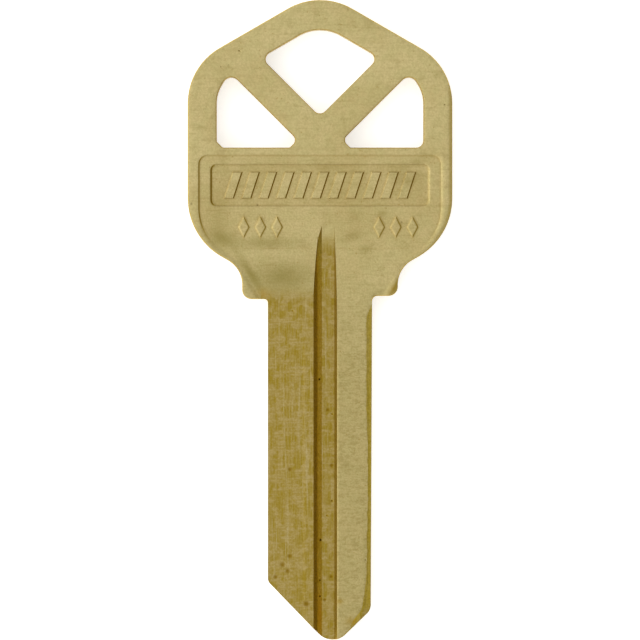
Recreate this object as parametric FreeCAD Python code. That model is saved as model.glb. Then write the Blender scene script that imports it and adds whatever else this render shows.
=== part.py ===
"""A flat brass key blank, uncut, lying on its back with its marked face up.

The blank is one piece: a stamped plate whose bow has three windows between two slanting straps, a coined field
with a sunk panel, and a blade with milled keyway grooves on both faces. Lengths are in millimetres.

X runs across the blank, with the cutting edge on the left at -X and the spine at +X. Y runs along it, from the tip
at -Y to the crown of the bow at +Y. Z runs through its thickness. The origin is at the middle of the blank's
footprint, on the face that it lies on.
"""

import FreeCAD, Part

import math
import os

from FreeCAD import Vector

# Overall sizes. Lengths along the blank are measured from the shoulder beside the cutting edge.
BOW_LENGTH = 24.44
BLADE_LENGTH = 27.86
BOW_WIDTH = 21.62
NECK_WIDTH = 12.72
BLADE_WIDTH = 8.52
BOW_THICKNESS = 2.10

# Outline of the bow
ROOF_SLOPE = 30.0
CROWN_RADIUS = 5.3
BOW_TOP_RADIUS = 5.2
BOW_BOTTOM_RADIUS = 5.5
FLANK_SLOPE = 30.0
NECK_LENGTH = 2.49
NECK_RADIUS = 2.3

# Shoulders, where the bow stops against the lock
SPINE_SHOULDER_SETBACK = 0.26
EAR_RADIUS = 0.75
CUTTING_ROOT_RADIUS = 0.3
SPINE_ROOT_RADIUS = 0.45

# Tip
SPINE_TAPER = 0.11
CUTTING_TIP_SLOPE = 46.0
SPINE_TIP_SLOPE = 44.0
NOSE_OFFSET = 1.0
NOSE_RADIUS = 1.5
CUTTING_TIP_RADIUS = 0.6
SPINE_TIP_RADIUS = 1.0

# Windows in the bow, hung from the crown
RIM_WIDTH = 2.36
STRAP_WIDTH = 2.66
STRAP_SLOPE = 45.0
RING_WINDOW_DROP = 9.51
RING_WINDOW_CROWN_RADIUS = 3.4
RING_WINDOW_RADIUS = 0.6
SIDE_WINDOW_DROP = 12.06
SIDE_WINDOW_APEX_RADIUS = 0.72
SIDE_WINDOW_NOSE_HEIGHT = 0.63
SIDE_WINDOW_NOSE_RADIUS = 0.5
SIDE_WINDOW_CHAMFER = 0.5
SIDE_WINDOW_CORNER_RADIUS = 0.6
SMALL_RADIUS = 0.22

# Edges of the stamped plate: rounded on the marked face, and broken at 45 degrees on the other face
EDGE_RADIUS = 0.15
BACK_EDGE_BREAK = 0.1

# Coined field, measured at its floor, with its sloping wall
FIELD_TOP_GAP = 0.67
FIELD_SIDE_MARGIN = 0.98
FIELD_TOP_RADIUS = 0.7
FIELD_BOTTOM_RADIUS = 4.0
FIELD_FLANK_SLOPE = 33.0
FIELD_KNEE_MARGIN = 0.59
FIELD_KNEE_HEIGHT = 3.38
FIELD_KNEE_RADIUS = 1.5
FIELD_EAR_MARGIN = 1.61
FIELD_DEPTH = 0.07
FIELD_WALL = 0.15

# Panel sunk into the field, measured at its floor
PANEL_TOP_GAP = 0.78
PANEL_SIDE_MARGIN = 1.01
PANEL_HEIGHT = 3.25
PANEL_RADIUS = 0.4
PANEL_DEPTH = 0.12
PANEL_WALL = 0.16

# Raised grip bars in the panel, and raised lozenges below it
BAR_WIDTH = 0.86
BAR_PITCH = 1.42
BAR_HEIGHT = 2.24
BAR_LEAN = 18.0
BAR_RISE = 0.1
BAR_SLOPE = 0.11
BAR_END_MARGIN = 0.5
LOZENGES = 3
LOZENGE_WIDTH = 0.98
LOZENGE_HEIGHT = 1.84
LOZENGE_PITCH = 1.36
LOZENGE_RISE = 0.06
LOZENGE_SLOPE = 0.1
LOZENGE_DROP = 1.8
LEFT_LOZENGES_MARGIN = 5.94
RIGHT_LOZENGES_MARGIN = 4.61

# Keyway groove on the marked face. Places are measured from the blade's centreline.
GROOVE_DEPTH = 0.95
GROOVE_LEFT_LIP = -0.60
GROOVE_FACET_LEFT = -0.20
GROOVE_FACET_HEIGHT = 0.24
GROOVE_FLOOR_LEFT = 0.15
GROOVE_FLOOR_RIGHT = 1.12
GROOVE_RIGHT_LIP = 1.40

# Skimmed land beside the cutting edge
LAND_DEPTH = 0.12
LAND_EAR_REACH = 0.6

# Keyway groove on the other face
BACK_GROOVE_DEPTH = 0.85
BACK_GROOVE_LEFT_LIP = 1.72
BACK_GROOVE_FLOOR_LEFT = 2.02
BACK_GROOVE_FLOOR_RIGHT = 2.98
BACK_GROOVE_RIGHT_LIP = 3.46

# Milling cutters, and where their full depth ends, measured from the shoulder
CUTTER_RADIUS = 39.5
CUTTER_STOP = 2.6

# Bevel along the spine and round the tip, on the marked face
SPINE_BEVEL_WIDTH = 0.36
SPINE_BEVEL_DEPTH = 0.3
SPINE_BEVEL_START = 0.3
SPINE_BEVEL_RUN_OUT = 2.6

# How far a cutting tool reaches past the metal that it cuts
CLEAR = 1.0

# The most of a side that roundings may take up, where a side is too short for them
ROUNDED_SHARE = 0.95

# Places worked out from the sizes above
SHOULDER_Y = (BLADE_LENGTH - BOW_LENGTH) / 2
SPINE_SHOULDER_Y = SHOULDER_Y + SPINE_SHOULDER_SETBACK
CROWN_Y = SHOULDER_Y + BOW_LENGTH
TIP_Y = SHOULDER_Y - BLADE_LENGTH
BOW_SIDE = BOW_WIDTH / 2
NECK_SIDE = NECK_WIDTH / 2
BLADE_SIDE = BLADE_WIDTH / 2
BLADE_THICKNESS = BOW_THICKNESS - FIELD_DEPTH


def tan(degrees):
    """The tangent of an angle in degrees."""
    return math.tan(math.radians(degrees))


def cos(degrees):
    """The cosine of an angle in degrees."""
    return math.cos(math.radians(degrees))


def mirrored(corners):
    """The corners of an outline reflected in the blank's centreline, in the same sense of rotation."""
    return [(-x, y, radius) for x, y, radius in reversed(corners)]


def line_meeting(point, direction, other, other_direction):
    """Where two lines cross, each given by a point and a direction."""
    cross = direction[0] * other_direction[1] - direction[1] * other_direction[0]
    gap = (other[0] - point[0], other[1] - point[1])
    along = (gap[0] * other_direction[1] - gap[1] * other_direction[0]) / cross
    return point[0] + along * direction[0], point[1] + along * direction[1]


def inset(corners, distance):
    """Corners of an anticlockwise outline moved inwards, with its rounded corners kept concentric."""
    count = len(corners)
    sides = []
    for index in range(count):
        x, y, _ = corners[index]
        next_x, next_y, _ = corners[(index + 1) % count]
        length = math.hypot(next_x - x, next_y - y)
        run = ((next_x - x) / length, (next_y - y) / length)
        sides.append(((x - run[1] * distance, y + run[0] * distance), run))
    moved = []
    for index in range(count):
        before, after = sides[index - 1], sides[index]
        x, y = line_meeting(before[0], before[1], after[0], after[1])
        turn = before[1][0] * after[1][1] - before[1][1] * after[1][0]
        change = -distance if turn > 0 else distance
        radius = corners[index][2]
        moved.append((x, y, radius + change if radius > 0 else 0))
    return moved


def corner_reaches(corners):
    """How far each corner's arc reaches along its two sides, limited where a side is too short for both ends."""
    count = len(corners)
    places = [Vector(x, y, 0) for x, y, _ in corners]
    reaches = []
    for index in range(count):
        to_before = places[index - 1] - places[index]
        to_after = places[(index + 1) % count] - places[index]
        reaches.append(corners[index][2] / math.tan(to_before.getAngle(to_after) / 2))
    shares = []
    for index in range(count):
        length = (places[(index + 1) % count] - places[index]).Length
        wanted = reaches[index] + reaches[(index + 1) % count]
        shares.append(min(1, ROUNDED_SHARE * length / wanted) if wanted > 0 else 1)
    return [reaches[index] * min(shares[index - 1], shares[index]) for index in range(count)]


def rounded_wire(corners, z):
    """A closed wire through corners of (x, y, radius), each rounded by an arc that is tangent to its two sides."""
    count = len(corners)
    places = [Vector(x, y, z) for x, y, _ in corners]
    reaches = corner_reaches(corners)
    ends = []
    for index in range(count):
        here, reach = places[index], reaches[index]
        to_before = (places[index - 1] - here).normalize()
        to_after = (places[(index + 1) % count] - here).normalize()
        half = to_before.getAngle(to_after) / 2
        radius = reach * math.tan(half)
        middle = here + (to_before + to_after).normalize() * (radius / math.sin(half) - radius)
        ends.append((here + to_before * reach, middle, here + to_after * reach))
    edges = []
    for index in range(count):
        start, middle, end = ends[index]
        if reaches[index] > 0:
            edges.append(Part.Arc(start, middle, end).toShape())
        edges.append(Part.LineSegment(end, ends[(index + 1) % count][0]).toShape())
    return Part.Wire(edges)


def slab(corners, bottom, top):
    """A straight-walled solid with this outline."""
    return Part.Face(rounded_wire(corners, bottom)).extrude(Vector(0, 0, top - bottom))


def pocket(corners, floor, wall, rim):
    """A cut with this outline at its floor, whose wall slopes outwards by its width up to the rim."""
    rim_corners = inset(corners, -wall)
    sloping = Part.makeLoft([rounded_wire(corners, floor), rounded_wire(rim_corners, rim)], True, True)
    return [sloping, slab(rim_corners, rim, rim + CLEAR)]


def raised_mark(corners, base, slope, rise):
    """A mark with this outline where it stands on the metal, sloping inwards to its top and rooted below."""
    wires = [
        rounded_wire(inset(corners, -slope), base - rise),
        rounded_wire(inset(corners, slope), base + rise),
    ]
    return Part.makeLoft(wires, True, True)


def roof_at(x, drop):
    """The height of the bow's roof line at a place across the blank, moved inwards by drop."""
    peak = CROWN_Y + CROWN_RADIUS * (1 / cos(ROOF_SLOPE) - 1)
    return peak - drop / cos(ROOF_SLOPE) - abs(x) * tan(ROOF_SLOPE)


def flank_y():
    """The height where the bow's flank, carried on straight, meets its side."""
    return SHOULDER_Y + NECK_LENGTH + (BOW_SIDE - NECK_SIDE) * tan(FLANK_SLOPE)


def tip_corners():
    """The corners of the tip, from the cutting edge round to the spine."""
    cutting_side = -BLADE_SIDE
    spine_side = BLADE_SIDE - SPINE_TAPER
    centre = (NOSE_OFFSET, TIP_Y + NOSE_RADIUS)
    cutting_run = (cos(CUTTING_TIP_SLOPE), -math.sin(math.radians(CUTTING_TIP_SLOPE)))
    spine_run = (cos(SPINE_TIP_SLOPE), math.sin(math.radians(SPINE_TIP_SLOPE)))
    cutting_touch = (centre[0] + cutting_run[1] * NOSE_RADIUS, centre[1] - cutting_run[0] * NOSE_RADIUS)
    spine_touch = (centre[0] + spine_run[1] * NOSE_RADIUS, centre[1] - spine_run[0] * NOSE_RADIUS)
    cutting = line_meeting(cutting_touch, cutting_run, (cutting_side, 0), (0, 1))
    spine = line_meeting(spine_touch, spine_run, (spine_side, 0), (0, 1))
    nose = line_meeting(cutting_touch, cutting_run, spine_touch, spine_run)
    return [
        (cutting[0], cutting[1], CUTTING_TIP_RADIUS),
        (nose[0], nose[1], NOSE_RADIUS),
        (spine[0], spine[1], SPINE_TIP_RADIUS),
    ]


def outline_corners():
    """The blank's outline, anticlockwise from the crown of the bow."""
    left_bow = [
        (-BOW_SIDE, roof_at(BOW_SIDE, 0), BOW_TOP_RADIUS),
        (-BOW_SIDE, flank_y(), BOW_BOTTOM_RADIUS),
        (-NECK_SIDE, SHOULDER_Y + NECK_LENGTH, NECK_RADIUS),
    ]
    left_shoulder = [
        (-NECK_SIDE, SHOULDER_Y, EAR_RADIUS),
        (-BLADE_SIDE, SHOULDER_Y, CUTTING_ROOT_RADIUS),
    ]
    right_shoulder = [
        (BLADE_SIDE, SPINE_SHOULDER_Y, SPINE_ROOT_RADIUS),
        (NECK_SIDE, SPINE_SHOULDER_Y, EAR_RADIUS),
    ]
    crown = [(0, roof_at(0, 0), CROWN_RADIUS)]
    return crown + left_bow + left_shoulder + tip_corners() + right_shoulder + mirrored(left_bow)


def strap_y(x, lower):
    """The height of a slanting strap's upper or lower edge at a place across the blank."""
    drop = STRAP_WIDTH / cos(STRAP_SLOPE) if lower else 0
    return CROWN_Y - RING_WINDOW_DROP - drop + abs(x) * tan(STRAP_SLOPE)


def window_foot():
    """The height of the straight bar under the side windows."""
    return CROWN_Y - SIDE_WINDOW_DROP


def window_tool(corners):
    """A straight cut through the plate with this outline, kept inside the bow's rim."""
    side = BOW_SIDE - RIM_WIDTH
    shoulder = (side, roof_at(side, RIM_WIDTH), BOW_TOP_RADIUS - RIM_WIDTH)
    foot = (side, window_foot(), 0)
    crown = (0, roof_at(0, RIM_WIDTH), RING_WINDOW_CROWN_RADIUS)
    inside = [crown] + mirrored([foot, shoulder]) + [foot, shoulder]
    bottom, top = -CLEAR, BOW_THICKNESS + CLEAR
    return slab(inside, bottom, top).common(slab(corners, bottom, top))


def upright_edges(solid):
    """The edges of a solid that stand upright."""
    upright = []
    for edge in solid.Edges:
        low, high = edge.Vertexes[0].Point, edge.Vertexes[-1].Point
        if math.hypot(high.x - low.x, high.y - low.y) < 1e-6 < abs(high.z - low.z):
            upright.append(edge)
    return upright


def rounding_that_fits(solid, upright, radius):
    """This radius, or less where one of the two walls that meet at an upright edge is too short for it."""
    foot = upright.Vertexes[0].Point
    away = []
    lengths = []
    for edge in solid.Edges:
        for at_foot, other in ((0, -1), (-1, 0)):
            level = abs(edge.Vertexes[other].Z - foot.z) < 1e-6
            if level and edge.Vertexes[at_foot].Point.distanceToPoint(foot) < 1e-6:
                away.append((edge.Vertexes[other].Point - foot).normalize())
                lengths.append(edge.Length)
    half = away[0].getAngle(away[1]) / 2
    return min(radius, ROUNDED_SHARE * min(lengths) * math.tan(half))


def ring_window():
    """The window under the crown, through which a key ring passes."""
    reach = BOW_WIDTH
    corners = [(reach, strap_y(reach, lower=False), 0), (-reach, strap_y(reach, lower=False), 0)]
    tool = window_tool([(0, strap_y(0, lower=False), 0)] + corners)
    on_straps = []
    for edge in upright_edges(tool):
        point = edge.Vertexes[0].Point
        if abs(point.y - strap_y(point.x, lower=False)) < 1e-6:
            on_straps.append(edge)
    return tool.makeFillet(RING_WINDOW_RADIUS, on_straps)


def side_window(outer_corner, left):
    """The window beside the straps, on the left or on the right, with its outer lower corner given."""
    side = BOW_SIDE - RIM_WIDTH
    nose_y = window_foot() + SIDE_WINDOW_NOSE_HEIGHT
    nose_x = (nose_y - strap_y(0, lower=True)) / tan(STRAP_SLOPE)
    nose_foot_x = nose_x + SIDE_WINDOW_NOSE_HEIGHT * tan(STRAP_SLOPE)
    corners = [
        (side, strap_y(side, lower=True), 0),
        (nose_x, nose_y, SIDE_WINDOW_NOSE_RADIUS),
        (nose_foot_x, window_foot(), SMALL_RADIUS),
    ]
    corners += outer_corner
    tool = window_tool(mirrored(corners) if left else corners)
    apex = max(upright_edges(tool), key=lambda edge: edge.Vertexes[0].Y)
    return tool.makeFillet(rounding_that_fits(tool, apex, SIDE_WINDOW_APEX_RADIUS), [apex])


def windows():
    """The three windows: the left side window has a chamfered outer corner and the right one a rounded one."""
    side = BOW_SIDE - RIM_WIDTH
    foot = window_foot()
    rounded = [(side, foot, SIDE_WINDOW_CORNER_RADIUS)]
    chamfered = [
        (side - SIDE_WINDOW_CHAMFER, foot, SMALL_RADIUS),
        (side, foot + SIDE_WINDOW_CHAMFER, SMALL_RADIUS),
    ]
    return [ring_window(), side_window(rounded, left=False), side_window(chamfered, left=True)]


def field_corners():
    """The coined field, from the bar under the windows down to the shoulders."""
    top = window_foot() - FIELD_TOP_GAP
    side = BOW_SIDE - FIELD_SIDE_MARGIN
    knee = NECK_SIDE + FIELD_KNEE_MARGIN
    knee_y = SHOULDER_Y + FIELD_KNEE_HEIGHT
    ear = NECK_SIDE - FIELD_EAR_MARGIN
    bottom = TIP_Y - CLEAR
    left = [
        (-side, top, FIELD_TOP_RADIUS),
        (-side, knee_y + (side - knee) * tan(FIELD_FLANK_SLOPE), FIELD_BOTTOM_RADIUS),
        (-knee, knee_y, FIELD_KNEE_RADIUS),
        (-ear, SHOULDER_Y, 0),
        (-ear, bottom, 0),
    ]
    return left + mirrored(left)


def panel_corners():
    """The sunk panel in the upper part of the field."""
    side = BOW_SIDE - FIELD_SIDE_MARGIN - PANEL_SIDE_MARGIN
    top = window_foot() - FIELD_TOP_GAP - PANEL_TOP_GAP
    left = [(-side, top, PANEL_RADIUS), (-side, top - PANEL_HEIGHT, PANEL_RADIUS)]
    return left + mirrored(left)


def grip_bars():
    """The raised bars that fill the panel, leaning to the right."""
    panel = panel_corners()
    left, top, _ = panel[0]
    bottom = panel[1][1]
    middle = (top + bottom) / 2
    lean = BAR_HEIGHT * tan(BAR_LEAN)
    room = -2 * (left + BAR_END_MARGIN) - BAR_WIDTH - lean
    count = int(room / BAR_PITCH) + 1
    first = -(count - 1) * BAR_PITCH / 2
    bars = []
    for index in range(count):
        x = first + index * BAR_PITCH
        corners = [
            (x - BAR_WIDTH / 2 - lean / 2, middle - BAR_HEIGHT / 2, 0),
            (x + BAR_WIDTH / 2 - lean / 2, middle - BAR_HEIGHT / 2, 0),
            (x + BAR_WIDTH / 2 + lean / 2, middle + BAR_HEIGHT / 2, 0),
            (x - BAR_WIDTH / 2 + lean / 2, middle + BAR_HEIGHT / 2, 0),
        ]
        bars.append(raised_mark(corners, BLADE_THICKNESS - PANEL_DEPTH, BAR_SLOPE, BAR_RISE))
    return bars


def lozenge_rows():
    """A row of raised lozenges on each side of the groove, below the panel and kept within the field."""
    field = slab(field_corners(), 0, BOW_THICKNESS)
    middle = panel_corners()[1][1] - LOZENGE_DROP
    marks = []
    for row_x in (LEFT_LOZENGES_MARGIN - BOW_SIDE, BOW_SIDE - RIGHT_LOZENGES_MARGIN):
        for index in range(LOZENGES):
            x = row_x + (index - (LOZENGES - 1) / 2) * LOZENGE_PITCH
            corners = [
                (x - LOZENGE_WIDTH / 2, middle, 0),
                (x, middle - LOZENGE_HEIGHT / 2, 0),
                (x + LOZENGE_WIDTH / 2, middle, 0),
                (x, middle + LOZENGE_HEIGHT / 2, 0),
            ]
            marks.append(raised_mark(corners, BLADE_THICKNESS, LOZENGE_SLOPE, LOZENGE_RISE).common(field))
    return marks


def milled(profile, floor_radius, floor):
    """A cut that runs out of the tip, and rises out of the metal where the round cutter stopped.

    The profile is a list of (x, height above the floor). The height of the cutter's axis gives its side: above
    the floor on the marked face, and below it on the other face.
    """
    stop_y = SHOULDER_Y - CUTTER_STOP
    side = 1 if floor_radius > 0 else -1
    axis_point = Vector(0, stop_y, floor + floor_radius)
    points = [Vector(x, stop_y, floor + side * height) for x, height in profile]
    face = Part.Face(Part.makePolygon(points + points[:1]))
    straight = face.extrude(Vector(0, TIP_Y - CLEAR - stop_y, 0))
    highest = max(height for _, height in profile)
    sweep = math.degrees(math.acos(1 - highest / abs(floor_radius)))
    run_out = face.revolve(axis_point, Vector(side, 0, 0), sweep)
    return [straight, run_out]


def front_groove():
    """The narrow keyway groove on the marked face."""
    over = GROOVE_DEPTH + CLEAR
    profile = [
        (GROOVE_FLOOR_LEFT, 0),
        (GROOVE_FLOOR_RIGHT, 0),
        (GROOVE_RIGHT_LIP, GROOVE_DEPTH),
        (GROOVE_RIGHT_LIP, over),
        (GROOVE_LEFT_LIP, over),
        (GROOVE_LEFT_LIP, GROOVE_DEPTH),
        (GROOVE_FACET_LEFT, GROOVE_FACET_HEIGHT),
    ]
    return milled(profile, CUTTER_RADIUS, BLADE_THICKNESS - GROOVE_DEPTH)


def front_land():
    """The skimmed land between the groove and the cutting edge."""
    outer = -BLADE_SIDE - LAND_EAR_REACH
    inner = (GROOVE_LEFT_LIP + GROOVE_FLOOR_LEFT) / 2
    profile = [(outer, 0), (inner, 0), (inner, CLEAR), (outer, CLEAR)]
    return milled(profile, CUTTER_RADIUS - GROOVE_DEPTH + LAND_DEPTH, BLADE_THICKNESS - LAND_DEPTH)


def back_groove():
    """The keyway groove on the other face, near the spine."""
    over = BACK_GROOVE_DEPTH + CLEAR
    profile = [
        (BACK_GROOVE_FLOOR_LEFT, 0),
        (BACK_GROOVE_FLOOR_RIGHT, 0),
        (BACK_GROOVE_RIGHT_LIP, BACK_GROOVE_DEPTH),
        (BACK_GROOVE_RIGHT_LIP, over),
        (BACK_GROOVE_LEFT_LIP, over),
        (BACK_GROOVE_LEFT_LIP, BACK_GROOVE_DEPTH),
    ]
    return milled(profile, -CUTTER_RADIUS, BACK_GROOVE_DEPTH)


def bevel_section(edge, inward, depth_share):
    """A triangle across an edge, to be swept along it, that cuts a bevel of this share of the full depth."""
    top = BLADE_THICKNESS + CLEAR
    reach = CLEAR / SPINE_BEVEL_DEPTH * SPINE_BEVEL_WIDTH
    depth = SPINE_BEVEL_DEPTH * depth_share
    start = SPINE_BEVEL_WIDTH * depth_share
    rise = Vector(0, 0, 1)
    inner = edge + inward * (start + reach) + rise * top
    outer_low = edge - inward * reach + rise * (BLADE_THICKNESS - depth - CLEAR)
    outer_high = edge - inward * reach + rise * top
    return Part.makePolygon([inner, outer_low, outer_high, inner])


def spine_bevels():
    """The bevels along the spine, fading in below the shoulder, and along the spine side of the tip."""
    spine_x = BLADE_SIDE - SPINE_TAPER
    start_y = SPINE_SHOULDER_Y - SPINE_BEVEL_START
    full_y = start_y - SPINE_BEVEL_RUN_OUT
    end_y = TIP_Y - CLEAR
    inward = Vector(-1, 0, 0)
    fading = [
        bevel_section(Vector(BLADE_SIDE, start_y, 0), inward, 0),
        bevel_section(Vector(spine_x, full_y, 0), inward, 1),
    ]
    full = [
        bevel_section(Vector(spine_x, full_y, 0), inward, 1),
        bevel_section(Vector(spine_x, end_y, 0), inward, 1),
    ]
    nose, corner = tip_corners()[1], tip_corners()[2]
    run = Vector(corner[0] - nose[0], corner[1] - nose[1], 0).normalize()
    across = Vector(-run.y, run.x, 0)
    tip = [
        bevel_section(Vector(nose[0], nose[1], 0) - run * CLEAR, across, 1),
        bevel_section(Vector(corner[0], corner[1], 0) + run * CLEAR, across, 1),
    ]
    return [Part.makeLoft(sections, True, True) for sections in (fading, full, tip)]


def edges_at(solid, height):
    """The edges of a solid that lie flat at this height."""
    level = []
    for edge in solid.Edges:
        heights = [vertex.Z for vertex in edge.Vertexes]
        if all(abs(z - height) < 1e-6 for z in heights):
            level.append(edge)
    return level


def plate():
    """The stamped plate with its windows, and with the edges of both faces eased."""
    solid = slab(outline_corners(), 0, BOW_THICKNESS)
    solid = solid.cut(windows())
    solid = solid.makeFillet(EDGE_RADIUS, edges_at(solid, BOW_THICKNESS))
    return solid.makeChamfer(BACK_EDGE_BREAK, edges_at(solid, 0))


def key_blank():
    """The whole blank."""
    solid = plate()
    field = pocket(field_corners(), BLADE_THICKNESS, FIELD_WALL, BOW_THICKNESS)
    panel = pocket(panel_corners(), BLADE_THICKNESS - PANEL_DEPTH, PANEL_WALL, BLADE_THICKNESS)
    solid = solid.cut(field + panel)
    solid = solid.fuse(grip_bars() + lozenge_rows())
    solid = solid.cut(front_groove() + front_land() + back_groove() + spine_bevels())
    return solid.removeSplitter()


def main():
    """Builds the blank and writes it to its file."""
    os.makedirs("parts", exist_ok=True)
    solid = key_blank()
    solid.exportStep("parts/key_blank.step")
    box = solid.BoundBox
    print("solids", len(solid.Solids), "valid", solid.isValid(), "volume", round(solid.Volume, 3))
    print("size", round(box.XLength, 3), round(box.YLength, 3), round(box.ZLength, 3))


main()
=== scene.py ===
"""The dressed key blank: stamped, coined and milled brass, lying on a pale studio floor and seen from above.

Sizes are in millimetres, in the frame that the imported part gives: X across the blank towards its spine, Y
along it towards the crown of the bow, and Z up through its thickness, with the marked face up.
"""

import logging
import math
from dataclasses import dataclass
from enum import IntEnum
from typing import Any, Callable, Mapping, Sequence

import bpy
import numpy as np
from mathutils import Matrix, Vector
from mathutils.geometry import delaunay_2d_cdt
from mathutils.kdtree import KDTree


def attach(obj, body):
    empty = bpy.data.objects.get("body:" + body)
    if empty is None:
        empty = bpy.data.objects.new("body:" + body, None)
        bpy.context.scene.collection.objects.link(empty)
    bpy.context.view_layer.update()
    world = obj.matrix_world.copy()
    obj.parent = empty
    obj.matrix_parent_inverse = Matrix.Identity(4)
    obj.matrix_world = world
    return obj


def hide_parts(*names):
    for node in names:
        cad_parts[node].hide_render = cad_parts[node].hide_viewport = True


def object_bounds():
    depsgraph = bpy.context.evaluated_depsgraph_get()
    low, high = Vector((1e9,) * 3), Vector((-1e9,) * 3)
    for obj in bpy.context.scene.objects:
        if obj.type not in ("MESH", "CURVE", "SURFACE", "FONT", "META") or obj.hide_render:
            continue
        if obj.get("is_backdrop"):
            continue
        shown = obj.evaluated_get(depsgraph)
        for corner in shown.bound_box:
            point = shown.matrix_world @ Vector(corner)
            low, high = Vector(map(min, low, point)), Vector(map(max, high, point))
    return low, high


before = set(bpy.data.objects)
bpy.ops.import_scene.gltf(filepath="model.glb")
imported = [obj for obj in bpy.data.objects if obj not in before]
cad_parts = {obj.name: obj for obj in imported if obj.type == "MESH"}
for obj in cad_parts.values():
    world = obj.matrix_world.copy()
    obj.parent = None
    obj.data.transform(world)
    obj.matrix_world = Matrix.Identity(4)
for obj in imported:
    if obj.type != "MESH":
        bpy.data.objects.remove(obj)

LOG = logging.getLogger("key_blank")
CAD_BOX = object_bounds()
NODE = "key_blank"
MM = 0.001

# Rows of x and y, rows of triangles, or one number a point.
Array = np.ndarray


class Surface(IntEnum):
    """How a stretch of the blank's surface was made, which is also its place among the material slots."""

    TUMBLED = 0
    MILLED = 1
    SHEARED = 2


def tan(degrees: float) -> float:
    """The tangent of an angle in degrees."""
    return math.tan(math.radians(degrees))


def sin(degrees: float) -> float:
    """The sine of an angle in degrees."""
    return math.sin(math.radians(degrees))


def cos(degrees: float) -> float:
    """The cosine of an angle in degrees."""
    return math.cos(math.radians(degrees))


def eased(share: Array) -> Array:
    """A share held between 0 and 1, with a soft start and end."""
    held = np.clip(share, 0.0, 1.0)
    return held * held * (3.0 - 2.0 * held)


def crossing(point: Vector, run: Vector, other: Vector, other_run: Vector) -> Vector:
    """Where two lines cross.

    Args:
        point: A point of the first line.
        run: The first line's direction.
        other: A point of the second line.
        other_run: The second line's direction.

    Returns:
        The point that both lines hold.
    """
    gap = other - point
    along = gap.cross(other_run) / run.cross(other_run)
    return point + run * along


@dataclass(frozen=True)
class Corner:
    """A corner of an outline, and the radius that rounds it."""

    x: float
    y: float
    radius: float = 0.0

    @property
    def place(self) -> Vector:
        """The corner's point, before it is rounded."""
        return Vector((self.x, self.y))


@dataclass(frozen=True)
class Loop:
    """A closed anticlockwise outline of straight sides and rounded corners."""

    corners: tuple[Corner, ...]

    def mirrored(self) -> "Loop":
        """The same outline on the other side of the centreline."""
        return Loop(tuple(Corner(-c.x, c.y, c.radius) for c in reversed(self.corners)))

    def run(self, index: int) -> Vector:
        """The direction of the side that leaves a corner."""
        here = self.corners[index % len(self.corners)]
        after = self.corners[(index + 1) % len(self.corners)]
        return (after.place - here.place).normalized()

    def turn(self, index: int) -> float:
        """How far the outline turns at a corner, positive to the left."""
        before, after = self.run(index - 1), self.run(index)
        return math.atan2(before.cross(after), before.dot(after))

    def reach(self, index: int) -> float:
        """How far a corner's arc reaches along its two sides."""
        index %= len(self.corners)
        return self.corners[index].radius * math.tan(abs(self.turn(index)) / 2)

    def grown(self, distance: float) -> "Loop":
        """The outline moved outwards, with its rounded corners kept concentric.

        Args:
            distance: How far each side moves outwards. A negative distance moves it inwards.

        Returns:
            The moved outline.
        """
        moved = []
        for index, corner in enumerate(self.corners):
            before, after = self.run(index - 1), self.run(index)
            out_before = Vector((before.y, -before.x))
            out_after = Vector((after.y, -after.x))
            place = corner.place + (out_before + out_after) * (distance / (1.0 + out_before.dot(out_after)))
            change = math.copysign(distance, distance * self.turn(index))
            radius = max(corner.radius + change, 0.0) if corner.radius else 0.0
            moved.append(Corner(place.x, place.y, radius))
        return Loop(tuple(moved))

    def sampled(self, step: float) -> Array:
        """Points along the outline.

        Args:
            step: The widest gap between neighbouring points.

        Returns:
            Rows of x and y, anticlockwise.
        """
        points: list[Vector] = []
        for index, corner in enumerate(self.corners):
            turn = self.turn(index)
            before, after = self.run(index - 1), self.run(index)
            leave = corner.place + after * self.reach(index)
            if corner.radius > 0.0:
                spoke = Vector((before.y, -before.x)) * math.copysign(corner.radius, turn)
                centre = corner.place - before * self.reach(index) - spoke
                count = max(4, math.ceil(corner.radius * abs(turn) / step))
                for share in np.linspace(0.0, 1.0, count, endpoint=False):
                    points.append(centre + Matrix.Rotation(turn * share, 2) @ spoke)
            following = self.corners[(index + 1) % len(self.corners)]
            arrive = following.place - after * self.reach(index + 1)
            count = max(1, math.ceil((arrive - leave).length / step))
            for share in np.linspace(0.0, 1.0, count, endpoint=False):
                points.append(leave.lerp(arrive, share))
        return np.array([tuple(point) for point in points])


def closed(path: Array) -> Array:
    """A closed outline's points with the first one repeated at the end."""
    return np.vstack([path, path[:1]])


def distance_to(points: Array, path: Array) -> Array:
    """The distance from each point to the nearest piece of a line.

    Args:
        points: Rows of x and y.
        path: The line's points, in order.

    Returns:
        One distance a point.
    """
    start, run = path[:-1], np.diff(path, axis=0)
    squared = np.maximum((run**2).sum(axis=1), 1e-12)
    nearest = np.empty(len(points))
    block = 2048
    for first in range(0, len(points), block):
        gap = points[first : first + block, None, :] - start[None, :, :]
        along = np.clip((gap * run).sum(axis=2) / squared, 0.0, 1.0)
        off = gap - along[..., None] * run
        nearest[first : first + block] = np.sqrt((off**2).sum(axis=2).min(axis=1))
    return nearest


def inside(points: Array, path: Array) -> Array:
    """Whether each point lies inside a closed outline, by how often a ray from it crosses the outline."""
    start, end = path[:-1], path[1:]
    within = np.zeros(len(points), dtype=bool)
    block = 4096
    for first in range(0, len(points), block):
        x, y = points[first : first + block, 0, None], points[first : first + block, 1, None]
        spans = (start[:, 1] > y) != (end[:, 1] > y)
        rise = np.where(end[:, 1] == start[:, 1], 1.0, end[:, 1] - start[:, 1])
        meets = start[:, 0] + (y - start[:, 1]) / rise * (end[:, 0] - start[:, 0])
        within[first : first + block] = (spans & (x < meets)).sum(axis=1) % 2 == 1
    return within


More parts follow.
